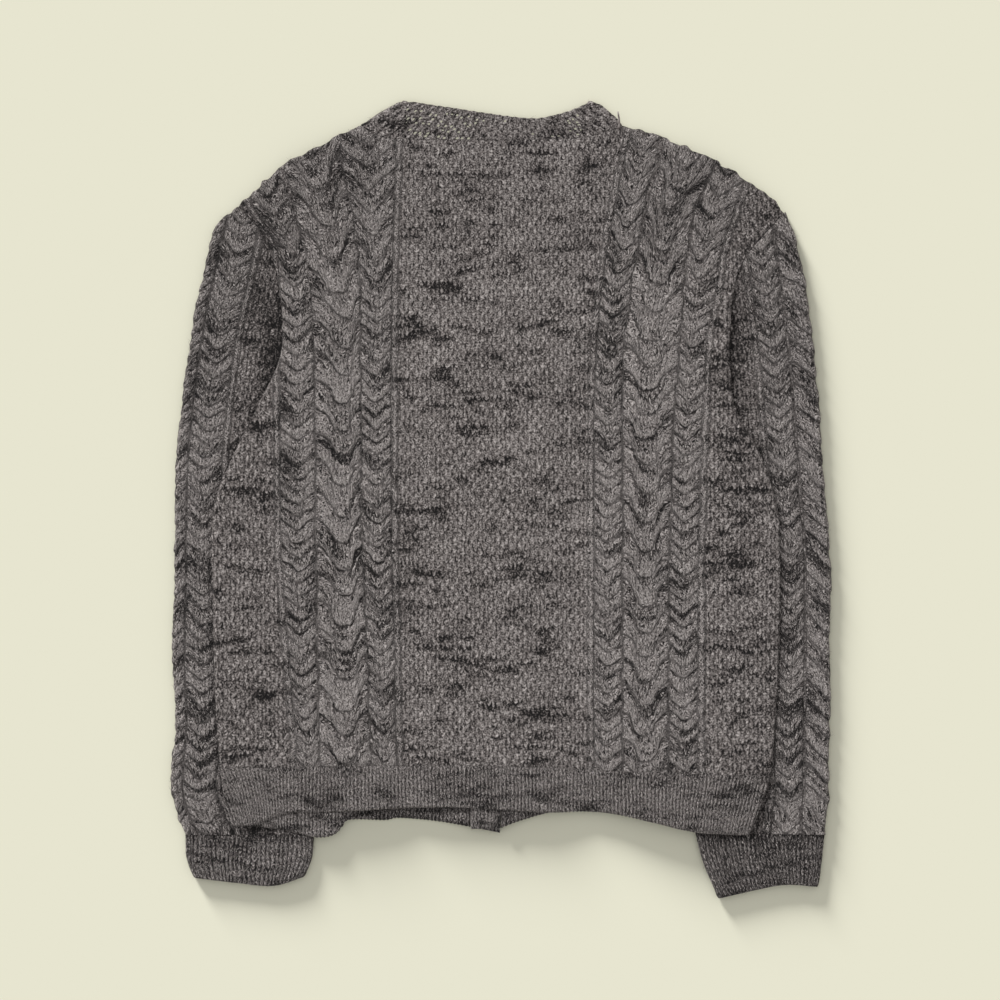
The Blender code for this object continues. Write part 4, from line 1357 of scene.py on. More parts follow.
# %% Rings of a flattened tube
def tube_from(lines, along, shares, height):
    """Rings round a flattened tube, with outward normals and the distance from the first fold."""
    radius = height / 2
    width = np.linalg.norm(np.diff(lines, axis=1), axis=2).sum(axis=1)[:, None]
    first_out = unit(lines[:, 0] - lines[:, 1])
    last_out = unit(lines[:, -1] - lines[:, -2])
    pulled = np.clip(1 - shares[None] * width / (2 * radius), 0, 1)[..., None] * radius
    other = np.clip(1 - (1 - shares[None]) * width / (2 * radius), 0, 1)[..., None] * radius
    flat = lines - first_out[:, None] * pulled - last_out[:, None] * other
    rows = len(lines)
    up = np.zeros((rows, len(shares), 3)) + (0, 0, 1)
    top = np.dstack([flat, np.full(flat.shape[:2], height)])
    floor = np.dstack([flat[:, ::-2], np.zeros(flat[:, ::-2].shape[:2])])
    from_first = shares[None] * (width - 2 * radius) + math.pi * radius / 2
    places, normals, distance = [top], [up], [from_first]
    flat_inset = shares[None] * (width - 2 * radius) + radius
    inset = [flat_inset]
    turns = np.linspace(0, math.pi, FOLD_STEPS + 1)[1:-1]

    def fold(corner, out, start, sign):
        """Round a fold at the end of a ring, from the top down or from the floor up."""
        angle = turns if sign > 0 else math.pi - turns
        out_by = out[:, None] * (radius * np.sin(angle))[None, :, None]
        height_there = np.broadcast_to((radius + radius * np.cos(angle))[None], (rows, len(turns)))
        places.append(np.dstack([corner[:, None] + out_by, height_there]))
        normal_xy = out[:, None] * np.sin(angle)[None, :, None]
        normals.append(np.dstack([normal_xy, np.broadcast_to(np.cos(angle)[None], (rows, len(turns)))]))
        distance.append(start + radius * turns[None] * np.ones((rows, 1)))
        bulge = radius * (1 - np.sin(angle))[None] * np.ones((rows, 1))
        inset.append(bulge if sign < 0 else width - bulge)

    fold(flat[:, -1], last_out, from_first[:, -1:], 1)
    places.append(floor)
    normals.append(-up[:, ::-2])
    inset.append(flat_inset[:, ::-2])
    perimeter = 2 * (width - 2 * radius) + 2 * math.pi * radius
    from_far = 1 - shares[None, ::-2]
    distance.append(from_first[:, -1:] + math.pi * radius + from_far * (width - 2 * radius))
    fold(flat[:, 0], first_out, perimeter - math.pi * radius / 2, -1)
    distance = np.hstack(distance)
    distance = np.where(distance > perimeter / 2, distance - perimeter, distance)
    along = np.broadcast_to(along[:, None], distance.shape)
    return Tube(np.hstack(places), np.hstack(normals), distance, along, np.hstack(inset))


def tube_shell(name, tube, knit, wall, room, material, facing, fade):
    """A tube's wall. room is how deep the relief may cut into it, fade how much of it is left."""
    lift = (knit.height * fade - room)[..., None]
    on_floor = tube.normals[..., 2:] < -0.999
    outer = tube.places + tube.normals * np.where(on_floor, np.minimum(lift, 0), lift)
    outer[..., 2] = np.maximum(outer[..., 2], 0)
    inner = (tube.places - tube.normals * wall)[::COARSE, ::COARSE]
    if facing < 0:
        outer, inner = outer[::-1], inner[::-1]
        knit = mirrored(knit, np.flipud)
    return shell(name, outer, inner, knit, material, ring=True)


def spaced(width, stretches):
    """Shares of a width, from stretches of (end, step): fine where it shows, coarser elsewhere."""
    shares, start = [0.0], 0.0
    for end, step in stretches:
        count = max(1, int(round((end - start) / step)))
        shares += [start + (end - start) * (k + 1) / count for k in range(count)]
        start = end
    shares = np.array(shares) / width
    count = len(shares) + (1 - len(shares)) % 8  # so that the coarse side divides the whole ring
    return np.interp(np.linspace(0, 1, count), np.linspace(0, 1, len(shares)), shares)


# %% [markdown]
# Each sleeve's plan says, in millimetres from the outer fold, how far the braid reaches and where
# the cable starts, has its tips and ends. The sleeves don't lie quite alike, so there are two.

# %% The sleeves' pattern
SleevePlan = namedtuple("SleevePlan", "braid braid_to cable_from tip cable_to upper_shade")
LEFT_PLAN = SleevePlan(Cable([], 14, 14, False, 1.0, 0.15, 40, 3.0, 31), 13, 14, 30, 47, 0.228)
RIGHT_PLAN = SleevePlan(Cable([], 22, 22, False, 1.2, 0.15, 40, 3.4, 31), 27, 29, 43, 57, 0.12)
CHEVRON = Cable([], 14, 14, False, 1.0, 0.15, 42, 2.7, 32)
SLEEVE_FOOT = -360 * MM
CREASES_SHOW = 0.75  # the creases are weaker than on the body


def pattern_place(tube, rungs):
    """Distance from the outer fold and height up the sleeve, as if its top weren't cut to the armhole."""
    table = [At(rung.outer_across, rung.outer_up) for rung in rungs if rung.outer_up < 225]
    lean = (table[0].across - table[1].across) / (table[0].up - table[1].up)
    table = [At(table[0].across + 90 * lean, table[0].up + 90)] + table
    x, y = tube.places[..., 0], tube.places[..., 1]
    edge, slope = edge_across(table, y)
    inward = np.abs(x - edge) / np.hypot(1, slope)
    from_fold = np.abs(inward + np.abs(tube.from_fold) - tube.inset)
    return from_fold, y + slope * (x - edge)


def straight_cable(across, up, cable, sides):
    """A cable whose column keeps to the same three distances all the way."""
    sides = [np.full_like(across, side * MM) for side in sides]
    made = cable_stitch(across, up, cable, sides, *crease_tips(cable, SLEEVE_FOOT, BODY_HEAD))
    return made._replace(crease=CREASES_SHOW * made.crease)


def sleeve_stitch(side, off, up, plan):
    """Stitches on a sleeve, off its outer fold and up from its cuff; side is -1 below the fold."""
    knit = moss_stitch(off * side, up)
    braid = straight_cable(off * side, up, plan.braid, (-plan.braid_to, 0, plan.braid_to))
    knit = overlaid(knit, braid, off < plan.braid_to * MM)
    cable = straight_cable(off, up, CHEVRON, (plan.cable_from, plan.tip, plan.cable_to))
    knit = overlaid(knit, cable, (off >= plan.cable_from * MM) & (off < plan.cable_to * MM))
    start = plan.cable_to * MM
    return overlaid(knit, rib_line(off, up, start), (off >= start) & (off < start + RIB_LINE))


# %% [markdown]
# The sleeves get painted shade that makes them darker than the body: a little all over, more towards
# the shoulder, where they slope away from the light, and in the valley beside the body's edge.

# %% Sleeves
SLEEVE_ROWS = steps_for(PANEL_LENGTH, 1.8 * MM)
SLEEVE_SPAN = 165 * MM  # what the places across a sleeve are spread over
SLEEVE_SHOWS = 112 * MM  # as much of it is knitted finely
SLEEVE_ROOM = 1.0 * MM
SLEEVE_SHADE = 0.07  # painted shade: the sleeves are painted a little darker than the body
VALLEY_SHADE = 0.45  # and painted darker still in the valley beside the body, below the armhole
VALLEY_WIDTH = 6 * MM
UNDER_BODY_RELIEF = 0.45  # of the relief is left where the sleeve lies under the body
BELOW_SEAM = 225 * MM


def make_sleeve(name, armhole, under, rungs, outward, plan, body_edge):
    shares = spaced(SLEEVE_SPAN, [(SLEEVE_SHOWS, 1.3 * MM), (SLEEVE_SPAN, 3.0 * MM)])
    lines, along = sleeve_lines(armhole, under, rungs, outward, shares, SLEEVE_ROWS)
    tube = tube_from(lines, along, shares, SLEEVE_HEIGHT)
    x, y = tube.places[..., 0], tube.places[..., 1]
    knit = sleeve_stitch(np.where(tube.from_fold < 0, -1, 1), *pattern_place(tube, rungs), plan)
    edge_there = np.interp(y, body_edge[:, 1], body_edge[:, 0])
    inward = (x - edge_there) * -np.sign(edge_there)
    fade = 1 - (1 - UNDER_BODY_RELIEF) * ease((inward - 4 * MM) / (8 * MM))
    below_seam = ease((BELOW_SEAM - y) / (30 * MM))
    valley = VALLEY_SHADE * below_seam * np.exp(-(np.minimum(inward, 0) / VALLEY_WIDTH) ** 2)
    on_top = tube.normals[..., 2] > 0
    sunk = folded(x, y, SLEEVE_FOLDS) * on_top
    upper = plan.upper_shade * ease((y - 40 * MM) / (120 * MM))
    # painted shade: a little all over, in the valley beside the body, towards the shoulder and in the folds'
    # troughs
    shade = SLEEVE_SHADE + valley * on_top + upper + FOLD_SHADE * sunk
    knit = knit._replace(height=knit.height - sunk * MM, cavity=knit.cavity + shade)
    return tube_shell(name, tube, knit, SLEEVE_WALL, SLEEVE_ROOM, PATTERN_WOOL, -outward, fade)


sleeve_left = make_sleeve(
    "left_sleeve", LEFT_ARMHOLE, LEFT_UNDER, LEFT_RUNGS, 1, LEFT_PLAN, back_left_edge,
)
sleeve_right = make_sleeve(
    "right_sleeve", RIGHT_ARMHOLE, RIGHT_UNDER, RIGHT_RUNGS, -1, RIGHT_PLAN, back_right_edge,
)

# %% [markdown]
# A cuff is a shorter tube of rib at the sleeve's end. It has fewer stitches than the sleeve and
# grips, and its far edge is a curve of its own, because the cuff lies a little askew.

# %% Cuffs
CUFF_GAP = 0.08 * MM
CUFF_ROWS = 32
CUFF_SPAN = 125 * MM
CUFF_LENGTH = 46 * MM
BESIDE_BODY_SHADE = 0.4  # painted shade where the cuff comes out from under the welt


def make_cuff(name, outer_table, inner_table, end_table, facing, pitch, shade):
    shares = spaced(CUFF_SPAN, [(CUFF_SPAN, 1.05 * MM)])[:, None]
    outer, inner = even_curve(outer_table, CUFF_ROWS), even_curve(inner_table, CUFF_ROWS)
    end = even_curve(end_table, 200)
    end_at = sampled(end, shares[:, 0], np.linspace(0, 1, 201))
    chord = end[0] * (1 - shares) + end[-1] * shares
    curve = (end_at - chord)[None] * (np.linspace(0, 1, CUFF_ROWS + 1) ** 2)[:, None, None]
    lines = outer[:, None] * (1 - shares) + inner[:, None] * shares + curve - (0, CUFF_GAP)
    along = np.linspace(0, CUFF_LENGTH, CUFF_ROWS + 1)
    tube = tube_from(lines, along, shares[:, 0], CUFF_HEIGHT)
    narrowed = np.linalg.norm(lines[:, -1] - lines[:, 0], axis=1)[:, None] / CUFF_SPAN
    rib = tube.from_fold / narrowed / pitch + 0.4 * wander(tube.from_fold, tube.along, 15 * MM, 41)
    knit = rib_stitch(rib, -tube.along, RIB_HEIGHT, tube.from_fold)
    fade = 1 - 0.6 * (1 - round_over(along[-1] - tube.along, 3 * MM))
    beside_body = ease((tube.inset - 40 * MM) / (25 * MM)) * np.exp(-(tube.along / (9 * MM)) ** 2)
    # painted shade: the cuff is painted darker all over, and more where it comes out from under the welt
    knit = knit._replace(cavity=knit.cavity + shade + BESIDE_BODY_SHADE * beside_body)
    return tube_shell(name, tube, knit, CUFF_WALL, RIB_SUNK, RIB_WOOL, facing, fade)


cuff_left = make_cuff(
    "left_cuff_rib", LEFT_CUFF_OUTER, LEFT_CUFF_INNER, LEFT_CUFF_END, -1, 4.3 * MM, 0.36,
)
cuff_right = make_cuff(
    "right_cuff_rib", RIGHT_CUFF_OUTER, RIGHT_CUFF_INNER, RIGHT_CUFF_END, 1, 4.0 * MM, 0.6,
)

# %% [markdown]
# ## The band
# One band is picked up along the left front, round the back of the neck and down the right front.
# It turns over at the shoulders, so its inner face shows at the back of the neck.

# %% Band
BAND_ALONG = 1.5 * MM
BAND_COLUMNS = 24
SCALLOP = 8.5 * MM  # the length of a small scallop of the edge
SCALLOP_DEPTH = 0.9 * MM
PEAK_GROWS = 6.2 * MM
BAND_SHADE = 0.14
HOLE_GROWS = 0.45  # the yarn round a hole is pushed back by this share of its width
OPEN_CHANCE, CLOSE_CHANCE = 0.6, 0.08  # of a hole where the neck is stretched, and elsewhere
LEFT_PEAK_OUT = 2.8 * MM  # how far the band bows out past each shoulder's end
RIGHT_PEAK_OUT = 4.2 * MM
BAND_RELIEF = 1.1 * MM
BAND_RIB_PITCH = 3.9 * MM
BAND_SUNK = 0.4 * MM  # the gutters of the band's ribs lie this far under its wall's surface
BAND_EDGE = 1.6 * MM  # its free edge is rounded by this much
NECK_ROWS = 160
BAND_ACROSS = 31 * MM
TURN_STEPS = 9


def band_half(welt_edge, front_edge, free_welt, free_edge, level, outward):
    seam = np.vstack([drawn(welt_edge), drawn(front_edge)[1:]])
    free = np.vstack([drawn(free_welt), drawn(free_edge)[1:]])
    rows = steps_for(length_of(free), BAND_ALONG)
    seam, free = shifted(paced(seam, rows), GAP * outward), paced(free, rows)
    height = np.maximum(level * closed_share(seam[:, 1]), BAND_CLEAR) + BAND_WALL
    return seam, free, height


def softened(line, corners, reach=12, passes=30):
    """A line with some of its corners rounded, by moving places towards their neighbours."""
    soft = line.copy()
    for _ in range(passes):
        soft[1:-1] = (soft[:-2] + 2 * soft[1:-1] + soft[2:]) / 4
    steps = np.arange(len(line))
    near = np.min([np.abs(steps - corner) for corner in corners], axis=0)
    share = ease(2 - near / reach)[:, None]
    return line * (1 - share) + soft * share


def neck_holes(places, on_neck):
    """Cells of the back neck where the rib is stretched open, one at most in each plain cell."""
    chance = np.random.RandomState(71)
    holes = []
    for row in range(0, len(places) - COARSE, COARSE):
        for column in range(COARSE, places.shape[1] - 1, COARSE):
            at = row + chance.randint(1, 3), column + chance.randint(0, 4)
            across = places[at][0] / MM
            open_here = -102 < across < -24 or 62 < across < 90
            likely = OPEN_CHANCE if open_here else CLOSE_CHANCE
            if on_neck[row] and on_neck[row + COARSE] and chance.rand() < likely:
                holes.append(at)
    return holes


def turn_over(seam, free, out):
    """The band's turn over a shoulder, from the front's level to the back's."""
    radius = (LAYER - BAND_WALL) / 2
    angle = np.linspace(0, math.pi, TURN_STEPS)
    push = out[None] * (radius * np.sin(angle))[:, None]
    height = BAND_WALL + radius - radius * np.cos(angle)
    return seam[None] + push, free[None] + push, height


def out_past(half, side):
    """The way out past a shoulder's end, square to the band."""
    width = half[1][-1] - half[0][-1]
    return side * np.array([-width[1], width[0]]) / np.linalg.norm(width)


def bumps(steps, corners, reach):
    """1 at each corner, falling off softly."""
    return [np.exp(-((steps - corner) / reach) ** 2)[:, None] for corner in corners]


print("the band turns over a shoulder in steps of, degrees:", 180 / (TURN_STEPS - 1))

# %% [markdown]
# The band's two edges are first strung together as two long lines: up one front, over a shoulder,
# round the neck and down again. Its peaks at the shoulders are rounded, because the rib bows there.

# %% The band's course
def band_course():
    """Both edges, their height, the stretches on the neck and over the shoulders, and the bow."""
    left = band_half(LEFT_WELT_EDGE, LEFT_FRONT_EDGE, LEFT_FREE_WELT, LEFT_FREE_EDGE, LEFT_BAND_LEVEL, 1)
    right = band_half(
        RIGHT_WELT_EDGE, RIGHT_FRONT_EDGE, RIGHT_FREE_WELT, RIGHT_FREE_EDGE, RIGHT_BAND_LEVEL, -1,
    )
    seam = even_curve(BACK_NECK, NECK_ROWS)
    free = even_curve(NECK_FREE_EDGE, NECK_ROWS)
    neck = (seam[1:-1], free[1:-1], np.full(NECK_ROWS - 1, LAYER))
    left_out, right_out = out_past(left, 1), out_past(right, -1)
    left_turn = turn_over(left[0][-1], left[1][-1], left_out)
    right_turn = turn_over(right[0][-1], right[1][-1], right_out)
    parts = [
        [values[:-1] for values in left], left_turn, neck,
        [values[::-1] for values in right_turn], [values[:-1][::-1] for values in right],
    ]
    counts = np.cumsum([len(part[0]) for part in parts])
    seam, free, height = [np.concatenate(values) for values in zip(*parts)]
    corners = [counts[0] + TURN_STEPS // 2, counts[2] + TURN_STEPS // 2]
    steps = np.arange(len(seam))
    seam = softened(seam, corners, 5, 12)
    at_peak = sum(bumps(steps, corners, 14))
    free = softened(free + unit(free - seam) * (PEAK_GROWS * at_peak), corners, 24, 130)
    near = bumps(steps, corners, 10)
    pushed = np.hstack([near[0] * left_out * LEFT_PEAK_OUT, near[1] * right_out * RIGHT_PEAK_OUT])
    on_neck = (steps >= counts[1]) & (steps < counts[2])
    back_part = (steps >= counts[0]) & (steps < counts[3])
    keep = np.ones(len(seam), bool)
    keep[2:2 + 3 * ((len(seam) - 1) % COARSE):3] = False  # so that the coarse side divides the rows
    return [values[keep] for values in (seam, free, height, on_neck, back_part, pushed)]


seam, free, height, on_neck, back_part, pushed = band_course()
print("rows along the band:", len(seam))

# %% [markdown]
# Between the two edges the band is a row of ribs that run along it. At the back of the neck it is
# stretched: its edge stands out in small scallops, and some of its stitches are open.

# %% The band's shell
def make_band():
    scallops = SCALLOP_DEPTH * (np.abs(np.sin(math.pi * travel(free) / SCALLOP)) - 0.6) * on_neck
    edge = free + unit(free - seam) * scallops[:, None]
    shares = np.linspace(0, 1, BAND_COLUMNS + 1)[None, :, None]
    flat = edge[:, None] * (1 - shares) + seam[:, None] * shares
    bow = np.sin(math.pi * shares ** 0.6)
    flat = flat + pushed[:, None, :2] * bow + pushed[:, None, 2:] * (bow - 0.7 * shares ** 4)
    places = np.dstack([flat, np.broadcast_to(height[:, None], flat.shape[:2])])
    normal = unit(np.cross(np.gradient(places, axis=1), np.gradient(places, axis=0)))
    way = travel(places[:, 0])
    along = np.broadcast_to(way[:, None], flat.shape[:2])
    across = shares[..., 0] * BAND_ACROSS + 0 * along
    rib = across / BAND_RIB_PITCH + 0.3 * wander(along, across, 14 * MM, 51)
    knit = rib_stitch(rib, along, BAND_RELIEF, across)
    knit = overlaid(knit, moss_stitch(along, across), back_part[:, None] & (across >= 0))
    knit = knit._replace(cavity=knit.cavity + BAND_SHADE)
    drop = edge_drop(across, BAND_EDGE, BAND_EDGE)[..., None]
    outer = places + normal * (BAND_WALL - BAND_SUNK + knit.height[..., None] - drop)
    outer[..., 2] = np.maximum(outer[..., 2], 0)
    inner = places[::COARSE, ::COARSE]
    holes = neck_holes(places, on_neck)
    for row, column in holes:
        cell = outer[row:row + 2, column:column + 2]
        cell += (cell - cell.mean(axis=(0, 1))) * (HOLE_GROWS, HOLE_GROWS, 0)
    print("holes in the back neck:", len(holes))
    return shell("band_rib", outer, inner, knit, RIB_WOOL, holes=holes), way[-1]


band, band_length = make_band()
print("band length, mm:", round(band_length / MM))

# %% [markdown]
# ## Buttons
# The six buttons are on the floor side. Their construction solids have the real shape, so they stay
# and get a horn-like resin: dark brown with paler clouds that run across each button.

# %% Horn
HORN_DARK = (0.022, 0.014, 0.010)
HORN_PALE = (0.12, 0.075, 0.045)


def button_horn():
    made, shader, place = new_material("button_horn", {"Roughness": 0.32})
    mapped = add_node(place.tree, "ShaderNodeMapping", Scale=(1, 3, 1), Vector=place)
    clouds = noise(Value(place.tree, mapped.outputs[0]), 120.0, 4.0, 0.6)
    share = step_up(clouds, 0.35, 0.7)
    feed(shader.inputs["Base Color"], colour_ramp(share, [(0, HORN_DARK), (1, HORN_PALE)]))
    bumped(shader, noise(place, 900.0, 2.0), 0.15, 0.2 * MM)
    return made


HORN = button_horn()
BUTTONS = [f"button_{number}" for number in range(1, 7)]
for name in BUTTONS:
    node = frame["nodes"][name]
    node.data.materials.clear()
    node.data.materials.append(HORN)
print("buttons finished:", len(BUTTONS))

# %% [markdown]
# ## Fuzz
# Wool is hairy. A small node tree scatters thin cones over a piece's surface, lays each one nearly
# flat and turns it at random, so that fibres soften the outline and cross the stitches. The
# modifier's result is kept as a plain mesh.

# %% Fuzz nodes
FIBRE_LENGTH = 5.5 * MM
FIBRE_RADIUS = 0.12 * MM
FACES_UP = -0.1  # fibres grow where the surface's normal points up by more than this
LAID_FROM, LAID_TO = 1.0, 1.5  # radians that a fibre leans over
FIBRE_DARK = (0.12, 0.10, 0.095)
FIBRE_PALE = (0.42, 0.38, 0.36)


def fuzz_material():
    made, shader, place = new_material("loose_wool", {"Roughness": 0.9, "Specular IOR Level": 0.15})
    share = step_up(noise(place, 90.0, 2.0), 0.35, 0.65)
    feed(shader.inputs["Base Color"], colour_ramp(share, [(0, FIBRE_DARK), (1, FIBRE_PALE)]))
    return made


def random_value(tree, kind, low, high, seed):
    node = add_node(tree, "FunctionNodeRandomValue", Seed=seed)
    node.data_type = kind
    ends = [s for s in node.inputs if s.enabled and s.name in ("Min", "Max")]
    ends[0].default_value, ends[1].default_value = low, high
    return Value(tree, next(s for s in node.outputs if s.enabled))


def fuzz_nodes():
    """Fibres all over the upper side of a surface."""
    tree = bpy.data.node_groups.new("wool_fuzz", "GeometryNodeTree")
    tree.interface.new_socket("Surface", in_out="INPUT", socket_type="NodeSocketGeometry")
    for name, kind in (("Density", "Float"), ("Length", "Float"), ("Radius", "Float"), ("Seed", "Int")):
        tree.interface.new_socket(name, in_out="INPUT", socket_type="NodeSocket" + kind)
    tree.interface.new_socket("Fuzz", in_out="OUTPUT", socket_type="NodeSocketGeometry")
    start, end = tree.nodes.new("NodeGroupInput"), tree.nodes.new("NodeGroupOutput")
    given = {socket.name: Value(tree, socket) for socket in start.outputs}

    def made(kind, output=0, **inputs):
        return Value(tree, add_node(tree, kind, **inputs).outputs[output])

    normal = made("GeometryNodeInputNormal")
    upward = made("ShaderNodeSeparateXYZ", "Z", Vector=normal).step("GREATER_THAN", FACES_UP)
    spread = {"Selection": upward, "Density": given["Density"], "Seed": given["Seed"]}
    scatter = add_node(tree, "GeometryNodeDistributePointsOnFaces", Mesh=given["Surface"], **spread)
    sizes = {"Radius Top": 0.0, "Radius Bottom": given["Radius"], "Depth": given["Length"]}
    fibre = made("GeometryNodeMeshCone", "Mesh", Vertices=3, **sizes)

    # lay each fibre down and turn it about the surface's own normal
    turned = Value(tree, scatter.outputs["Rotation"])
    for low, high in (((0, 0, 0), (0, 0, 2 * math.pi)), ((LAID_FROM, 0, 0), (LAID_TO, 0, 0))):
        angles = random_value(tree, "FLOAT_VECTOR", low, high, given["Seed"])
        turn = add_node(tree, "FunctionNodeRotateRotation", Rotation=turned)
        turn.rotation_space = "LOCAL"
        feed(turn.inputs["Rotate By"], made("FunctionNodeEulerToRotation", Euler=angles))
        turned = Value(tree, turn.outputs[0])
    sized = random_value(tree, "FLOAT", 0.6, 1.3, given["Seed"])
    points = Value(tree, scatter.outputs["Points"])
    planted = made(
        "GeometryNodeInstanceOnPoints", Points=points, Instance=fibre, Rotation=turned, Scale=sized,
    )
    real = made("GeometryNodeRealizeInstances", Geometry=planted)
    feed(end.inputs[0], made("GeometryNodeSetMaterial", Geometry=real, Material=LOOSE_WOOL))
    return tree


LOOSE_WOOL = fuzz_material()
FUZZ = fuzz_nodes()
print("nodes in the fuzz:", len(FUZZ.nodes))

# %% [markdown]
# Where the band was sewn on, one end of the yarn has worked loose at the right shoulder. It is a
# thin tube through a few places, thinner towards its tip.

# %% A loose end of yarn
YARN_RADIUS = 1.35 * MM
YARN_SIDES = 6
YARN_PLACES = [(117, 371, 8.6), (118.2, 375, 9.4), (118, 381, 8.4), (117, 388.5, 6.2)]


def yarn_end(places, radius, sides):
    knots = np.array(places) * MM
    line = sampled(knots, np.linspace(0, len(knots) - 1, 10), np.arange(len(knots)))
    along = unit(np.gradient(line, axis=0))
    first = unit(np.cross(along, (0, 0, 1)))
    second = np.cross(along, first)
    angle = (np.arange(sides) / sides * 2 * math.pi)[None, :, None]
    thick = radius * np.linspace(1, 0.55, len(line))[:, None, None]
    ring = first[:, None] * np.cos(angle) + second[:, None] * np.sin(angle)
    numbers = np.arange(len(line) * sides).reshape(len(line), sides)
    faces = grid_faces(numbers, True).tolist() + [numbers[0][::-1].tolist(), numbers[-1].tolist()]
    mesh = bpy.data.meshes.new("yarn_end")
    mesh.from_pydata((line[:, None] + ring * thick).reshape(-1, 3).tolist(), [], faces)
    mesh.polygons.foreach_set("use_smooth", [True] * (len(faces) - 2) + [False] * 2)
    mesh.materials.append(LOOSE_WOOL)
    return linked("yarn_end", mesh)


loose_end = yarn_end(YARN_PLACES, YARN_RADIUS, YARN_SIDES)
print("faces of the loose end:", len(loose_end.data.polygons))

# %% [markdown]
# Only the pieces that show get fuzz. Each piece's fibres are an object of their own, so they can
# be hidden or thinned without touching the knitting.

# %% Fuzz on the pieces that show
FUZZ_DENSITY = 25000  # fibres on a square metre


def add_fuzz(piece, density, seed):
    made = linked(piece.name + "_fuzz", piece.data.copy())
    modifier = made.modifiers.new("fuzz", "NODES")
    modifier.node_group = FUZZ
    sizes = {"Density": density, "Length": FIBRE_LENGTH, "Radius": FIBRE_RADIUS, "Seed": seed}
    for item in FUZZ.interface.items_tree:
        if item.in_out == "INPUT" and item.name in sizes:
            modifier[item.identifier] = sizes[item.name]
    evaluated = made.evaluated_get(bpy.context.evaluated_depsgraph_get())
    fibres_only = bpy.data.meshes.new_from_object(evaluated)
    made.modifiers.remove(modifier)
    places = np.empty(len(fibres_only.vertices) * 3)
    fibres_only.vertices.foreach_get("co", places)
    places[2::3] = np.maximum(places[2::3], FIBRE_RADIUS)  # none goes into the surface below
    fibres_only.vertices.foreach_set("co", places)
    made.data = fibres_only
    print(made.name, len(fibres_only.polygons), "triangles")
    return made


FUZZY = [
    back_left, back_middle, back_right, back_welt, sleeve_left, sleeve_right, cuff_left, cuff_right, band,
]
FUZZES = {piece.name: add_fuzz(piece, FUZZ_DENSITY, 80 + number) for number, piece in enumerate(FUZZY)}

# %% [markdown]
# ## The cloth on its body
# Every piece rides on the one body and hides the construction node that it stands for. The table
# lists its cut size: the width and the length of the knitted piece before it is sewn, and its area
# without what the shaping takes off. Its fuzz rides on the body too.

# %% Riding, replacing and cut sizes
SheetPlan = namedtuple("SheetPlan", "piece node slot width length area rests_on")


def grid_area(made):
    """Half the surface of a wall: about its flat area, with the relief."""
    return sum(face.area for face in made.data.polygons) / 2


BACK_LENGTH = 641 * MM
SHEETS = [
    SheetPlan(back_left, "back", "pattern_knit", 0.186, BACK_LENGTH, 0.101, ["left_front", "left_sleeve"]),
    SheetPlan(back_middle, "back", "pattern_knit", 0.214, BACK_LENGTH, 0.130, ["left_front", "right_front"]),
    SheetPlan(
        back_right, "back", "pattern_knit", 0.190, BACK_LENGTH, 0.101, ["right_front", "right_sleeve"],
    ),
    SheetPlan(back_welt, "back_welt", "rib_knit", 0.550, 0.060, 0.025, ["left_front_welt_rib"]),
    SheetPlan(front_left, "front_left", "pattern_knit", 0.260, BACK_LENGTH, 0.131, ["left_sleeve"]),
    SheetPlan(front_right, "front_right", "pattern_knit", 0.285, BACK_LENGTH, 0.140, ["right_sleeve"]),
    SheetPlan(front_left_welt, "front_left_welt", "rib_knit", 0.250, 0.068, 0.0145, ["left_cuff_rib"]),
    SheetPlan(front_right_welt, "front_right_welt", "rib_knit", 0.272, 0.060, 0.0130, ["right_cuff_rib"]),
    SheetPlan(sleeve_left, "sleeve_left", "pattern_knit", 0.330, 0.640, 0.205, []),
    SheetPlan(sleeve_right, "sleeve_right", "pattern_knit", 0.310, 0.640, 0.190, []),
    SheetPlan(cuff_left, "cuff_left", "rib_knit", 0.255, 0.048, None, []),
    SheetPlan(cuff_right, "cuff_right", "rib_knit", 0.262, 0.058, None, []),
    SheetPlan(band, "front_neck_band", "rib_knit", 0.034, band_length, None, ["button_1"]),
]
for sheet in SHEETS:
    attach(sheet.piece, "root")
    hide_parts(sheet.node)
    low_corner, high_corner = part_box(sheet.node)
    cad_size = [round(side / MM) for side in high_corner - low_corner]
    print(sheet.piece.name, "half surface", round(grid_area(sheet.piece), 4), "m2, CAD", cad_size, "mm")
for piece_name, fuzz in FUZZES.items():
    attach(fuzz, "root")
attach(loose_end, "root")
for sheet in SHEETS:
    more = {"area": sheet.area} if sheet.area else {}
    if sheet.piece.name in FUZZES:
        more["with_pieces"] = [FUZZES[sheet.piece.name]]
    if sheet.piece == band:
        more["with_pieces"].append(loose_end)

# %% [markdown]
# ## Floor, light and camera
# A plain pale floor, a soft key from the upper left and even fill light. A low lamp that lights
# only the floor gives the soft shadow past the right and lower edges.

# %% Floor
FLOOR_COLOUR = (0.799, 0.783, 0.631)
FLOOR_REACH = 6.0
PAPER_SHADER = {"Base Color": (*FLOOR_COLOUR, 1), "Roughness": 1.0, "Specular IOR Level": 0.0}


def make_floor():
    mesh = bpy.data.meshes.new("floor")
    corners = [(FLOOR_REACH * x, FLOOR_REACH * y, 0) for x, y in ((-1, -1), (1, -1), (1, 1), (-1, 1))]
    mesh.from_pydata(corners, [], [(0, 1, 2, 3)])
    mesh.materials.append(new_material("pale_paper", PAPER_SHADER)[0])
    made = linked("floor", mesh)
    return made


floor = make_floor()
print("the floor's width, m:", 2 * FLOOR_REACH)

# %% [markdown]
# The world's white light fills the shadows. The key is a wide, soft sun that lights the garment
# alone. The low sun lights the floor alone, and all the garment but the band shades it.

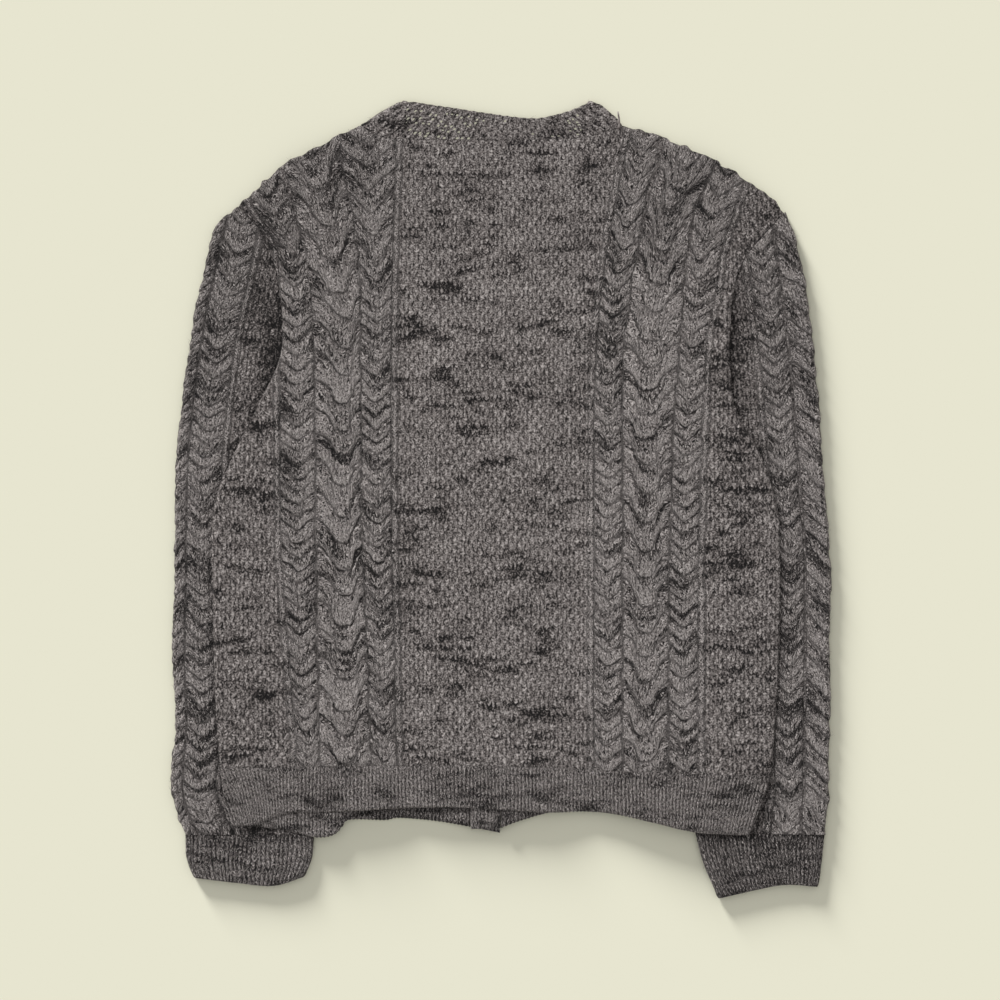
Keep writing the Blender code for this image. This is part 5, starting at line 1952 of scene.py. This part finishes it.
# %% Light
WORLD_STRENGTH = 0.56
KEY_STRENGTH = 2.2
KEY_WAY = (0.55, -0.7, -0.72)
KEY_WIDE = 22  # degrees, so its shadows are soft
SHADOW_STRENGTH = 7.03
SHADOW_WAY = (0.50, -0.92, -0.21)
SHADOW_WIDE = 13.5


def aimed(name, direction, strength, angle):
    """A sun that shines along a direction; its angle is its size in the sky, in degrees."""
    data = bpy.data.lights.new(name, "SUN")
    data.energy = strength
    data.angle = math.radians(angle)
    lamp = linked(name, data)
    lamp.rotation_euler = Vector(direction).to_track_quat("-Z", "Y").to_euler()
    return lamp


def collected(name, objects):
    made = bpy.data.collections.new(name)
    for item in objects:
        made.objects.link(item)
    return made


world = bpy.data.worlds.new("studio")
world.use_nodes = True
world.node_tree.nodes["Background"].inputs["Color"].default_value = (1, 1, 1, 1)
world.node_tree.nodes["Background"].inputs["Strength"].default_value = WORLD_STRENGTH
bpy.context.scene.world = world
key = aimed("key", KEY_WAY, KEY_STRENGTH, KEY_WIDE)
low = aimed("floor_light", SHADOW_WAY, SHADOW_STRENGTH, SHADOW_WIDE)
key.location = (-0.8, 1.0, 1.6)
low.location = (-1.0, 1.8, 0.6)
pieces = [sheet.piece for sheet in SHEETS]
buttons = [frame["nodes"][name] for name in BUTTONS]
key.light_linking.receiver_collection = collected(
    "key_receivers", pieces + list(FUZZES.values()) + buttons + [loose_end],
)
low.light_linking.receiver_collection = collected("floor_receivers", [floor])
shades = [piece for piece in pieces if piece != band]
low.light_linking.blocker_collection = collected("floor_shades", shades)
print("lamps:", key.name, low.name)

# %% [markdown]
# The camera looks straight down from high above, as one does to show a garment's cut: the lens is
# long enough for a metre of floor to fill the view.

# %% Camera
CAMERA_HEIGHT = 3.4
FRAME_WIDTH = 1.0
SENSOR = 36.0
CAMERA_ACROSS = -1 * MM
MIDDLE_HEIGHT = 8 * MM  # of the cloth that the view is measured at


def make_camera():
    data = bpy.data.cameras.new("camera")
    data.sensor_width = SENSOR
    data.lens = SENSOR * (CAMERA_HEIGHT - MIDDLE_HEIGHT) / FRAME_WIDTH
    camera = linked("camera", data)
    camera.location = (CAMERA_ACROSS, 0, CAMERA_HEIGHT)
    bpy.context.scene.camera = camera
    print("focal length, mm:", round(data.lens, 1))


make_camera()
bpy.context.scene.view_settings.view_transform = "Standard"
